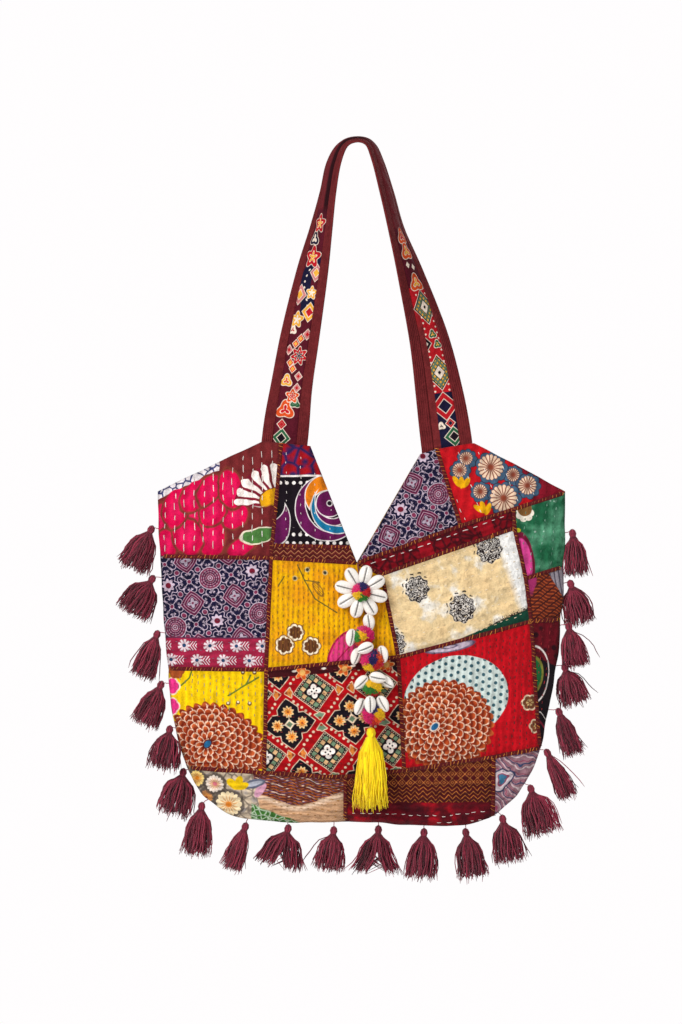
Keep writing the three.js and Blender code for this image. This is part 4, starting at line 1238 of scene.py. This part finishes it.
# Shoulder strap: a printed strip between two maroon ribbed bindings, sewn edge to edge in one long loop.
# It twists on its way up and folds over where it hangs, and its ends are sewn in between the panels.
STRAP = np.array([  # x, z, twist, fold, wide
    (-76.5, -332, 0, 0, 0.99),
    (-74.5, -312, 0, 0, 0.99),
    (-68.6, -262, 25, 1, 1),
    (-59.7, -205, 33, 3, 1),
    (-47.8, -138, 47, 5, 1),
    (-39.3, -93, 61, 6, 1),
    (-33, -55, 70, 8, 1),
    (-26.8, -24, 72, 8, 1),
    (-16.5, -4.5, 76, 8, 1),
    (0, 1.2, 80, 8, 1),
    (15.5, -3.6, 77, 8, 1),
    (24.3, -22, 75, 8, 1),
    (33.8, -55, 72, 8, 1),
    (42.8, -93, 69, 6, 1),
    (56.5, -138, 55, 5, 1),
    (74.6, -205, 34, 3, 1.03),
    (84.9, -262, 18, 1, 1.08),
    (92, -312, 0, 0, 1.1),
    (94, -332, 0, 0, 1.1),
], float)
STRAP_STATIONS = 260


def strap_strip(name, offsets, thick, material):
    """Lay a strip of the strap between offsets from its middle line, and give its length in millimetres."""
    rows = np.arange(len(STRAP), dtype=float)
    at = np.linspace(0, len(STRAP) - 1, STRAP_STATIONS)
    x, z, twist, fold, wide = (through(rows, STRAP[:, k], at) for k in range(5))
    twist = np.clip(twist, 0, 95)
    line = np.stack((x, np.zeros_like(x), z), axis=1)
    way = np.gradient(line, axis=0)
    way /= np.linalg.norm(way, axis=1, keepdims=True)
    run = np.concatenate(([0], np.cumsum(np.linalg.norm(np.diff(line, axis=0), axis=1))))
    outward = np.stack((-way[:, 2], np.zeros_like(x), way[:, 0]), axis=1)
    deep = np.array((0.0, 1.0, 0.0))
    c, s = np.cos(np.radians(twist))[:, None], np.sin(np.radians(twist))[:, None]
    across, face = c * outward + s * deep, s * outward - c * deep
    bend = np.radians(fold)[:, None]
    loop = np.concatenate((offsets, offsets[::-1]))
    lift = np.concatenate((thick, -thick[::-1]))
    sections = []
    for u, h in zip(loop, lift):
        tip = np.sign(u)
        normal = face * np.cos(bend) + tip * np.sin(bend) * across
        out = u * wide[:, None]
        sections.append(line + out * np.cos(bend) * across - abs(out) * np.sin(bend) * face + h * normal)
    sections = np.stack(sections, axis=1)
    marks = {"along": np.repeat(run, len(loop)), "across": np.tile(loop, STRAP_STATIONS)}
    piece = mesh_piece(name, sections, loft(sections), material, **marks)
    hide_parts(name)
    flat = (np.ptp(offsets) * wide.mean() * MM, run[-1] * MM)
    return flat[1] / MM


binding = Cloth("strap_binding_cotton", (112, 38, 40), wobble=0, marks=("along", "across"))
# Dark lines between the ribs: painted shade in their grooves.
binding.lay((96, 30, 34), binding.z.repeat(2.1).band(0.7), soft=0.8)
binding.quilt(0, 2.1, 0.35)
binding_material = binding.finish(sheen=0.0)
for name, sign in (("strap_binding_outer", 1), ("strap_binding_inner", -1)):
    offsets = np.array((12.3, 12.6, 13.4, 14.8, 16.2, 17.6, 19.0, 20.6, 22.2, 23.4, 23.9, 24.0))
    thick = np.array((0.3, 0.9, 1.2, 1.05, 1.2, 1.05, 1.2, 1.05, 1.2, 1.2, 0.8, 0.2))
    order = slice(None, None, sign)
    strap_length = strap_strip(name, (sign * offsets)[order], thick[order], binding_material)

ikat = Cloth("strap_print_cotton", (84, 20, 34), wobble=0, marks=("along", "across"))
CREAM_INK, BLACK_INK, ORANGE_INK, GREEN_INK = (232, 214, 196), (26, 18, 26), (206, 76, 30), (40, 92, 60)
ROSE_INK, RED_INK, GOLD_INK, NAVY_INK = (196, 120, 120), (178, 24, 34), (226, 164, 56), (24, 22, 50)
bend = ikat.z - (ikat.x * 0.11).sin() * 5
river = (30 - abs(ikat.x - 182)).low(9.0 - abs(bend)).edge()
ikat.tint(NAVY_INK, river)
ikat.lay(CREAM_INK, 1.2 - reach(ikat.x.repeat(6.2), bend), river)
LEFT_FLOWERS = (  # along, across, size, petals, colour, heart
    (23, 4, 9.0, 4, GREEN_INK, BLACK_INK),
    (37, 5, 4.6, 4, RED_INK, RED_INK),
    (52, 3, 10.5, 3, ORANGE_INK, RED_INK),
    (60, -7, 5.6, 3, GREEN_INK, GREEN_INK),
    (67, -3, 7.5, 5, ORANGE_INK, RED_INK),
    (76, -7, 4.0, 4, ROSE_INK, RED_INK),
    (82, 6, 7.0, 3, GOLD_INK, ORANGE_INK),
    (88, -7, 4.0, 4, ROSE_INK, RED_INK),
    (95, 1, 3.8, 4, ORANGE_INK, GOLD_INK),
    (101, 5, 3.8, 4, ORANGE_INK, GOLD_INK),
    (109, -4, 9.6, 7, RED_INK, NAVY_INK),
    (114, 9, 4.4, 4, ROSE_INK, RED_INK),
    (121, 2, 3.8, 4, ORANGE_INK, GOLD_INK),
    (127, -3, 3.8, 4, ORANGE_INK, GOLD_INK),
    (132, -10, 4.8, 4, ROSE_INK, RED_INK),
    (135, 9, 5.0, 3, CREAM_INK, RED_INK),
    (146, 6, 8.5, 5, GOLD_INK, CREAM_INK),
    (155, -8, 9.0, 4, GOLD_INK, RED_INK),
    (172, 9, 9.5, 4, ROSE_INK, GOLD_INK),
    (175, -7, 6.8, 5, GOLD_INK, CREAM_INK),
    (196, -9, 8.0, 4, ROSE_INK, GOLD_INK),
    (212, 0, 12.0, 5, RED_INK, GOLD_INK),
    (231, 3, 8.5, 3, NAVY_INK, CREAM_INK),
    (247, -2, 10.0, 5, RED_INK, GOLD_INK),
)


def strap_flowers(start, flowers, where):
    """Little outlined flowers and, with four petals, diamonds on the strap's print."""
    for along, across, size, petals, shade, heart in flowers:
        a, b = start - along, ikat.z - across
        if petals == 4:
            shape = size - abs(a) * 0.9 - abs(b)
        else:
            shape = lobed(a, b, float(petals), 0.2 * size, size * 0.8)
        inner = 0.9 if size > 6 else 0.0
        ikat.grown(shape, ((0.8, CREAM_INK), (0.0, shade), (inner - 0.5 * size, CREAM_INK),
                           (-0.5 * size, heart)), where)


back = strap_length - ikat.x
right_leg = (strap_length / 2 - back).edge()
left_leg = 1 - right_leg
strap_flowers(ikat.x, LEFT_FLOWERS, left_leg)
red_zone = (56 - abs(back - 126)).edge()
ikat.tint(RED_INK, red_zone)
ikat.lay(CREAM_INK, 1.0 - reach(back.repeat(6.0), abs(ikat.z - 3) - 7.4), red_zone)
gem = abs((back - 91).repeat(69)) * 0.8 + abs(ikat.z - 3)
mosaic = (ikat.z + back * 0.8).repeat(5.2).line(2.6) * (ikat.z - back * 0.8).repeat(5.2).line(2.6)
ikat.rings(gem, ((15.2, CREAM_INK), (14.4, BLACK_INK), (13.0, (92, 112, 90))), red_zone)
ikat.lay(GOLD_INK, 13.0 - gem, red_zone, mosaic)
ikat.rings(gem, ((6.8, BLACK_INK), (5.8, CREAM_INK), (1.9, BLACK_INK)), red_zone)
navy_zone = (70 - back).edge() * right_leg
ikat.tint(NAVY_INK, navy_zone)
RIGHT_FLOWERS = (  # from the end, across, size, petals, colour, heart
    (24, 8, 9.0, 4, GREEN_INK, BLACK_INK),
    (36, -3, 3.6, 3, CREAM_INK, NAVY_INK),
    (38, 6, 4.4, 4, RED_INK, NAVY_INK),
    (56, 3, 13.0, 4, RED_INK, NAVY_INK),
    (122, -9, 9.0, 4, BLACK_INK, CREAM_INK),
    (120, 7, 4.6, 3, GREEN_INK, GOLD_INK),
    (131, 4, 4.8, 3, GREEN_INK, GOLD_INK),
    (186, 1, 10.5, 3, ORANGE_INK, GOLD_INK),
    (203, 4, 2.4, 4, CREAM_INK, CREAM_INK),
    (206, -5, 2.4, 4, CREAM_INK, CREAM_INK),
    (220, 0, 11.0, 3, ORANGE_INK, GOLD_INK),
    (236, 0, 10.0, 3, ORANGE_INK, RED_INK),
)
strap_flowers(back, RIGHT_FLOWERS, right_leg)
margin = (-5.5 - ikat.z).edge() * (150 - back).edge(30.0) * right_leg
ikat.tint((108, 36, 38), margin)
plain = (ikat.x - 262).edge(3.0) * (back - 245).edge(3.0)
ikat.tint((104, 32, 38), plain)
# A dark band along one half of the print near the arch: painted shade of the strap's lengthwise fold.
ikat.lay((40, 10, 16), -4 - ikat.z, (55 - abs(ikat.x - 312)).edge(20.0), soft=4.0)
offsets = np.array((-12.3, -11.6, -9.0, -6.0, -2.0, 2.0, 6.0, 9.0, 11.6, 12.3))
thick = np.array((0.3, 0.8, 1.1, 1.15, 1.1, 1.1, 1.15, 1.1, 0.8, 0.3))
strap_strip("strap_print", offsets, thick, ikat.finish(sheen=0.0))


# Wine red tassels round the side and bottom seams: each a bundle of cotton strands doubled over a knot,
# bound at the neck with the same yarn and hung on a short thread.
TASSELS = np.array([  # x, z, sway, length, spread, front, part
    (-212, -403, -27, 48, 31, 0, 0),
    (-211, -454, -30, 45, 35, 0, 0),
    (-206, -511, -20, 49, 25, 0, 0),
    (-202, -563, -23, 47, 28, 0, 0),
    (-193, -609, -10, 44, 32, -9, 0),
    (-179, -653, -13, 50, 36, 7, 0),
    (-160, -688, -7, 53, 28, 0, 0),
    (-115, -709, -18, 49, 18, 0, 0),
    (-71, -711, -14, 43, 40, 0, 5),
    (-24, -713, -8, 44, 30, 0, 0),
    (22, -712, -3, 47, 34, 0, 8),
    (69, -715, -4, 50, 31, 0, 0),
    (112, -715, 10, 50, 29, 0, 0),
    (150, -701, 10, 48, 31, 0, 0),
    (179, -670, 16, 52, 36, 0, 0),
    (196, -633, 26, 53, 19, 0, 0),
    (208, -591, 20, 49, 21, 0, 0),
    (214, -545, 17, 45, 29, 9, 0),
    (218, -503, 10, 46, 26, -9, 0),
    (220, -459, 16, 48, 30, 9, 0),
    (222, -407, 6, 46, 24, 0, 0),
], float)
HEAD = 4.4
FLATNESS = 0.6
GOLDEN_ANGLE = 2.399963
PATH_POINTS = 10


def tassel_paths(chance, head, length, spread, strands, part=0.0, swell=(0.68, 0.86, 0.93, 0.96)):
    """Strands of a tassel about its own axis: over the head, in at the neck, out in a full skirt."""
    each = (strands, 1)
    turn = (np.arange(strands) * GOLDEN_ANGLE + chance.uniform(0, 0.4, strands))[:, None]
    inner = np.sqrt(chance.uniform(0.1, 1, strands))[:, None]
    ends = (length * (1 + chance.normal(0, 0.05, strands)) - head)[:, None]
    of_ends = np.array((0, 0, 0, 0, 0, 0.20, 0.40, 0.60, 0.80, 1))
    of_head = np.array((-0.95, -0.6, 0.1, 1.05, 1.6, 1.0, 0.7, 0.5, 0.2, 0))
    drop = of_ends * ends + of_head * head
    wide = np.concatenate((
        np.array((0.12, 0.6, 0.8, 0.5, 0.95)) * head,
        np.array((*swell, 0.97)) * (spread / 2),
    ))
    firm = np.array((0.9, 0.9, 0.9, 0.9, 0.6, 0.25, 0.1, 0.0, 0.0, 0.0))
    out = wide * (inner * (1 - firm) + firm)
    loose = np.array((0, 0, 0, 0, 0.15, 0.5, 0.9, 1.2, 1.5, 2.1))
    deep = np.array((1, 1, 1, 1, 0.85, 0.75, *[FLATNESS] * 4))
    stray = np.where(chance.uniform(0, 1, each) > 0.9, 2.4, 0.9)
    curl = chance.uniform(0, 6.28, each) + chance.uniform(0.12, 0.3, each) * drop
    x = out * np.cos(turn) + loose * (chance.normal(0, 1, each) * stray + 0.8 * np.sin(curl))
    y = out * np.sin(turn) * deep + loose * (chance.normal(0, 0.5, each) + 0.6 * np.cos(curl))
    x = x + np.sign(x) * part * ease(drop, 0.45 * length, length)
    return np.stack((x, y, -drop), axis=2)


def rotated(points, turn, first, second):
    """Points turned from one axis towards another, by radians."""
    found = points.copy()
    found[..., first] = points[..., first] * math.cos(turn) - points[..., second] * math.sin(turn)
    found[..., second] = points[..., first] * math.sin(turn) + points[..., second] * math.cos(turn)
    return found


WINE_YARN = yarn("wine_yarn", (52, 8, 20), (156, 46, 70), sheen=0.15)
FULLNESS = 1.1
STRANDS = 150
CORE_STRANDS = 30
WRAP_TURNS = 4
turns = np.linspace(0, WRAP_TURNS * 2 * math.pi, PATH_POINTS * WRAP_TURNS)
wrap = np.stack((
    2.9 * np.cos(turns),
    2.9 * np.sin(turns),
    -1.05 * HEAD - np.linspace(-1.2, 1.2, len(turns)),
), axis=1).reshape(WRAP_TURNS, PATH_POINTS, 3)
heights = np.linspace(BOTTOM, SHOULDER[0], 341)
left, right = bag_edges(heights)
hem = np.linspace(left[0], right[0], 200)
seam = np.concatenate((
    np.stack((left, heights), 1),
    np.stack((right, heights), 1),
    np.stack((hem, np.full(len(hem), BOTTOM)), 1),
))
kinds = (STRANDS, CORE_STRANDS, WRAP_TURNS, 1)
radius = np.repeat((0.52, 1.2, 0.5, 0.45), kinds)[:, None] * np.ones(PATH_POINTS)
radius[:STRANDS, -1] = 0.22
radius[STRANDS:STRANDS + CORE_STRANDS, -1] = 0.4
for number, (x, z, sway, length, spread, front, part) in enumerate(TASSELS, 1):
    chance = np.random.default_rng(40 + number)
    strands = tassel_paths(chance, HEAD, length, spread * FULLNESS, STRANDS, part)
    core = tassel_paths(chance, HEAD * 0.7, length * 0.95, spread * 0.84, CORE_STRANDS, part)
    local = rotated(np.concatenate((strands, core, wrap)), math.atan2(front, 0.6 * length), 1, 2)
    local = rotated(local, math.radians(sway), 0, 2) + np.array((x, 0, z))
    hold = seam[np.argmin(np.hypot(seam[:, 0] - x, seam[:, 1] - z))]
    hold = hold + (hold - (x, z)) / max(np.linalg.norm(hold - (x, z)), 1) * 1.5
    thread = np.linspace((hold[0], 0, hold[1]), (x, 0, z + HEAD * 0.6), PATH_POINTS)
    thread = thread + chance.normal(0, 0.15, (PATH_POINTS, 3))
    paths = np.concatenate((local, thread[None]))
    # The core strands are coloured darker than most outer strands: painted shade inside the bundle.
    shade = np.repeat((0, 0.3, 0.25, 1.0), kinds)
    shade[:STRANDS] = chance.uniform(0, 1, STRANDS)
    piece = yarn_mesh(f"tassel_{number:02d}_strands", paths, radius, 4, WINE_YARN, shade=shade)
    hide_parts(f"tassel_{number:02d}")


# Dangle at the point of the mouth: a thread carries a flower of eight cowrie shells with a pompom, a single
# shell, then four pompoms of cut wool under caps of shells, and ends in a long yellow tassel.
POMPOMS = (  # x, z, radius
    (6.8, -511.6, 10.5),
    (14.8, -535.5, 11.5),
    (15.5, -563.5, 9.5),
    (16.5, -589.5, 11.5),
)
CAP_SHELLS = (  # pompom, x, z, front, tilt
    (0, -13, -1, 2, -10),
    (1, -16, 4, 1, -20),
    (1, -7, 12.5, 8, -68),
    (1, 11, 6, 0, 12),
    (2, -11.5, 5.5, 3, -48),
    (2, 5.5, 10.5, 6, 80),
    (2, 14, 6, 0, 55),
    (3, -14, 7, 2, -25),
    (3, -3.5, 9.5, 9, 2),
    (3, 9.5, 10, 5, 30),
)
SHELL = (18, 12, 8)  # long, wide, high
FLOWER_SHELL = (23, 13, 8.6)
FLOWER_SHELLS, FLOWER_RING, FLOWER_TURN = 8, 16, 14
THREAD_LIFT = 1.9


def face_y(x, z):
    """Where the front of the cloth is."""
    return -float(half_depth(np.array([x], float), np.array([z], float))[0]) - WALL


def new_ball():
    """Points and faces of the round mesh just added, which is taken out again.

    Its faces come in another order in each run, so they are sorted, each from its lowest point on.
    """
    ball = bpy.context.object
    points = np.array([v.co[:] for v in ball.data.vertices])
    faces = []
    for polygon in ball.data.polygons:
        face = list(polygon.vertices)
        first = face.index(min(face))
        faces.append(face[first:] + face[:first])
    bpy.data.objects.remove(ball)
    return points, sorted(faces)


def cowrie(size, at, upright, spin=0.0, taper=0.14):
    """A shell with its toothed slit to the front, turned in the bag's plane and about its length."""
    bpy.ops.mesh.primitive_uv_sphere_add(segments=36, ring_count=22, radius=1)
    unit, faces = new_ball()
    long, wide, high = size
    x, y, z = unit.T
    front = np.clip(-y * 2.5, 0, 1)
    slit = np.exp(-((x / 0.085) ** 2)) * front * ease(1 - np.abs(z), 0.06, 0.3)
    lip = np.exp(-(((np.abs(x) - 0.27) / 0.13) ** 2)) * front
    teeth = np.cos(z * 24) * lip
    points = np.stack((
        x * wide / 2 * (1 + taper * z) * (1 - 0.06 * z * z),
        y * high / 2 * np.where(y < 0, 0.85, 1) + slit * 2.4 - lip * 0.35 - teeth * 0.22,
        z * long / 2,
    ), axis=1)
    points = rotated(rotated(points, math.radians(spin), 0, 1), math.radians(upright), 0, 2)
    # The slit mark colours the slit and the gaps between the teeth dark: painted shade of the shell's hollow.
    return points + np.array(at), faces, np.clip(slit * 1.5 + 0.2 * (lip - teeth) * 0.5, 0, 1)


def shells(name, group):
    """Several shells as one piece."""
    points, faces = joined([shell[:2] for shell in group])
    slit = np.concatenate([shell[2] for shell in group])
    piece = mesh_piece(name + "_shells", points, faces, shell_material, slit=slit)
    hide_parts(name)


shell_material, tree, shader = painted("cowrie_glaze", Roughness=0.25, Coat_Weight=0.4, Coat_Roughness=0.1)
# Dark where the slit mark is: painted shade in the shell's opening.
feed(shader.inputs["Base Color"], mix(tree, dye(238, 232, 224), dye(36, 20, 16), marked(tree, "slit")))

flower_x, flower_z = 4, -466
flower_y = face_y(flower_x, flower_z) - 1.6 - 4.5 - 3.2
ring = []
for number in range(FLOWER_SHELLS):
    turn = math.radians(number * 360 / FLOWER_SHELLS + FLOWER_TURN)
    at = (flower_x + FLOWER_RING * math.sin(turn), flower_y, flower_z + FLOWER_RING * math.cos(turn))
    ring.append(cowrie(FLOWER_SHELL, at, -math.degrees(turn), taper=0.3))
shells("shell_flower", ring)

middles = [np.array((x, face_y(x, z) - radius - 1.2, z)) for x, z, radius in POMPOMS]
for number, middle in enumerate(middles):
    group = []
    for owner, x, z, front, tilt in CAP_SHELLS:
        if owner == number:
            spin = -math.copysign(min(2 * abs(x), 30), x)
            group.append(cowrie(SHELL, middle + np.array((x, -front, z)), tilt, spin))
    shells(f"shell_cap_{number + 1}", group)
lying = face_y(8, -490) - THREAD_LIFT
link = (12, lying + 0.6 * (middles[0][1] - lying), -497.5)
shells("shell_link", [cowrie(SHELL, link, 8)])

WOOL = {
    "magenta": (228, 12, 112),
    "navy": (32, 24, 100),
    "orange": (238, 84, 16),
    "yellow": (252, 204, 6),
    "green": (52, 142, 44),
    "red": (214, 26, 34),
}
POMPOM_WOOL = (  # name, middle, radius, and where each colour faces: to the right, up, colour
    ("flower_pompom", (flower_x, flower_y - 3.15, flower_z), 9.5,
     ((-0.6, 0.4, "magenta"), (0.3, 0.7, "navy"), (0.8, 0, "red"), (-0.5, -0.5, "yellow"),
      (0.2, -0.9, "green"))),
    ("pompom_1", middles[0], POMPOMS[0][2],
     ((-0.8, -0.2, "green"), (-0.1, 0.1, "yellow"), (0.8, 0.1, "magenta"), (0.3, 0.9, "magenta"),
      (0.5, -0.6, "red"), (-0.2, -0.8, "orange"))),
    ("pompom_2", middles[1], POMPOMS[1][2],
     ((-0.8, 0, "magenta"), (0.1, 0.5, "navy"), (0.2, 0, "navy"), (0.6, -0.4, "red"), (0.8, 0.2, "orange"),
      (-0.5, -0.8, "yellow"), (-0.3, 0.8, "magenta"))),
    ("pompom_3", middles[2], POMPOMS[2][2],
     ((-0.1, 0.5, "yellow"), (0.5, 0.2, "yellow"), (0, -0.4, "green"), (-0.5, -0.3, "green"),
      (0.1, -1, "red"))),
    ("pompom_4", middles[3], POMPOMS[3][2],
     ((-0.6, -0.3, "magenta"), (-0.3, -0.7, "magenta"), (0.6, -0.1, "yellow"), (0.3, -0.8, "orange"),
      (-0.1, 0.5, "navy"), (0, -0.95, "red"))),
)
wool, tree, shader = painted("pompom_wool", Roughness=0.9, Sheen_Weight=0.15)
feed(shader.inputs["Base Color"], marked(tree, "wool", "Color"))
FIBRES = 1100
for name, middle, radius, colours in POMPOM_WOOL:
    chance = np.random.default_rng(sum(map(ord, name)))
    index = np.arange(FIBRES) + 0.5
    tall = 1 - 2 * index / FIBRES
    turn = index * GOLDEN_ANGLE
    flat = np.sqrt(1 - tall * tall)
    ways = np.stack((flat * np.cos(turn), flat * np.sin(turn), tall), axis=1)
    seeds = np.array([(x, -0.7, z) for x, z, _ in colours] + [(-x, 0.7, z) for x, z, _ in colours])
    seeds /= np.linalg.norm(seeds, axis=1, keepdims=True)
    shades = np.array([dye(*WOOL[c]) for _, _, c in colours] * 2)
    pick = np.argmax(ways @ seeds.T + chance.normal(0, 0.04, (FIBRES, len(seeds))), axis=1)
    paint = shades[pick] * chance.uniform(0.75, 1.1, (FIBRES, 1))
    paint[:, 3] = 1
    bent = ways + chance.normal(0, 0.06, ways.shape)
    tip = radius * chance.normal(1.0, 0.025, (FIBRES, 1))
    paths = np.stack((ways * radius * 0.6, ways * radius * 0.85, bent * tip), axis=1) + np.asarray(middle)
    piece = yarn_mesh(name + "_wool", paths, np.array((0.5, 0.6, 0.34)), 3, wool, wool=paint)
    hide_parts(name)
    bpy.ops.mesh.primitive_ico_sphere_add(subdivisions=4, radius=radius * 0.84)
    points, faces = new_ball()
    # The core ball is coloured darker than its fibres: painted shade deep in the wool.
    paint = shades[np.argmax(points @ seeds.T, axis=1)] * 0.8
    mesh_piece(name + "_core", points + np.asarray(middle), faces, wool, wool=paint)

YELLOW_HEAD = 5.2
head_x, head_z = 14, -609
head_y = face_y(head_x, head_z) - 10.8 - 3.5
chance = np.random.default_rng(9)
YELLOW_SWELL = (0.72, 0.86, 0.93, 0.97)
YELLOW_STRANDS = (260, 40)
strands = np.concatenate((
    tassel_paths(chance, YELLOW_HEAD, 78, 33, YELLOW_STRANDS[0], swell=YELLOW_SWELL),
    tassel_paths(chance, YELLOW_HEAD * 0.75, 74, 29, YELLOW_STRANDS[1], swell=YELLOW_SWELL),
)) + np.array((head_x, head_y, head_z))
yellow_yarn = yarn("yellow_yarn", (232, 188, 0), (255, 230, 10))
radius = np.repeat((0.6, 2.1), YELLOW_STRANDS)[:, None] * np.ones(PATH_POINTS)
radius[:, -1] *= 0.5
shade = chance.uniform(0, 1, len(strands))
piece = yarn_mesh("tassel_yellow_strands", strands, radius, 4, yellow_yarn, shade=shade)
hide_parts("tassel_yellow")

route = [(x, face_y(x, z) - THREAD_LIFT, z) for x, z in ((0.5, -438), (3, -455), (5, -472), (8, -486))]
route += [link, *middles, (head_x, head_y, head_z + YELLOW_HEAD * 0.7)]
route = np.array([np.asarray(p, float) for p in route])
at = np.linspace(0, len(route) - 1, 90)
line = np.stack([through(np.arange(len(route), dtype=float), route[:, k], at) for k in range(3)], axis=1)
thread = yarn("dangle_thread_cotton", (96, 40, 40), (150, 80, 70), sheen=0.3)
piece = yarn_mesh("dangle_thread_line", line[None], 0.8, 8, thread, shade=np.array([0.5]))
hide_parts("dangle_thread")


# Studio: a pale floor below the hanging bag, a white surround, a big soft lamp at the upper left, weaker
# ones at the right and behind, and a camera straight in front.
bpy.ops.mesh.primitive_plane_add(size=3, location=(0, 0, -1.25))
floor = bpy.context.object
floor.name = "floor"
floor.data.materials.append(painted("floor_paint", Base_Color=dye(244, 243, 243), Roughness=0.9)[0])

world = bpy.data.worlds.new("studio")
world.use_nodes = True
bpy.context.scene.world = world
tree = world.node_tree
surround = tree.nodes["Background"].inputs
seen = Field(tree, node(tree, "LightPath").outputs["Is Camera Ray"])
feed(surround["Color"], (1.0, 0.985, 0.99, 1.0))
feed(surround["Strength"], seen * 0.62 + 0.38)
AIM = np.array((0, 0, -0.45))
for name, place, size, power in (
    ("key", (-1.5, -2.2, 0.9), 1.5, 78),
    ("fill", (1.8, -2.0, -0.2), 1.6, 14),
    ("back", (1.2, 2.4, 0.7), 1.6, 36),
):
    lamp = bpy.data.lights.new(name, "AREA")
    lamp.size = size
    lamp.energy = power
    holder = bpy.data.objects.new(name, lamp)
    bpy.context.collection.objects.link(holder)
    holder.location = place
    way = AIM - np.array(place)
    tilt = math.acos(-way[2] / np.linalg.norm(way))
    holder.rotation_euler = (tilt, 0, math.atan2(way[1], way[0]) - math.pi / 2)

camera = bpy.data.cameras.new("camera")
camera.sensor_fit = "VERTICAL"
camera.sensor_height = 36
camera.lens = 102.4
holder = bpy.data.objects.new("camera", camera)
bpy.context.collection.objects.link(holder)
holder.location = (-0.0165, -3.0, -0.385)
holder.rotation_euler = (math.pi / 2, 0, 0)
bpy.context.scene.camera = holder
bpy.context.scene.view_settings.view_transform = "Standard"
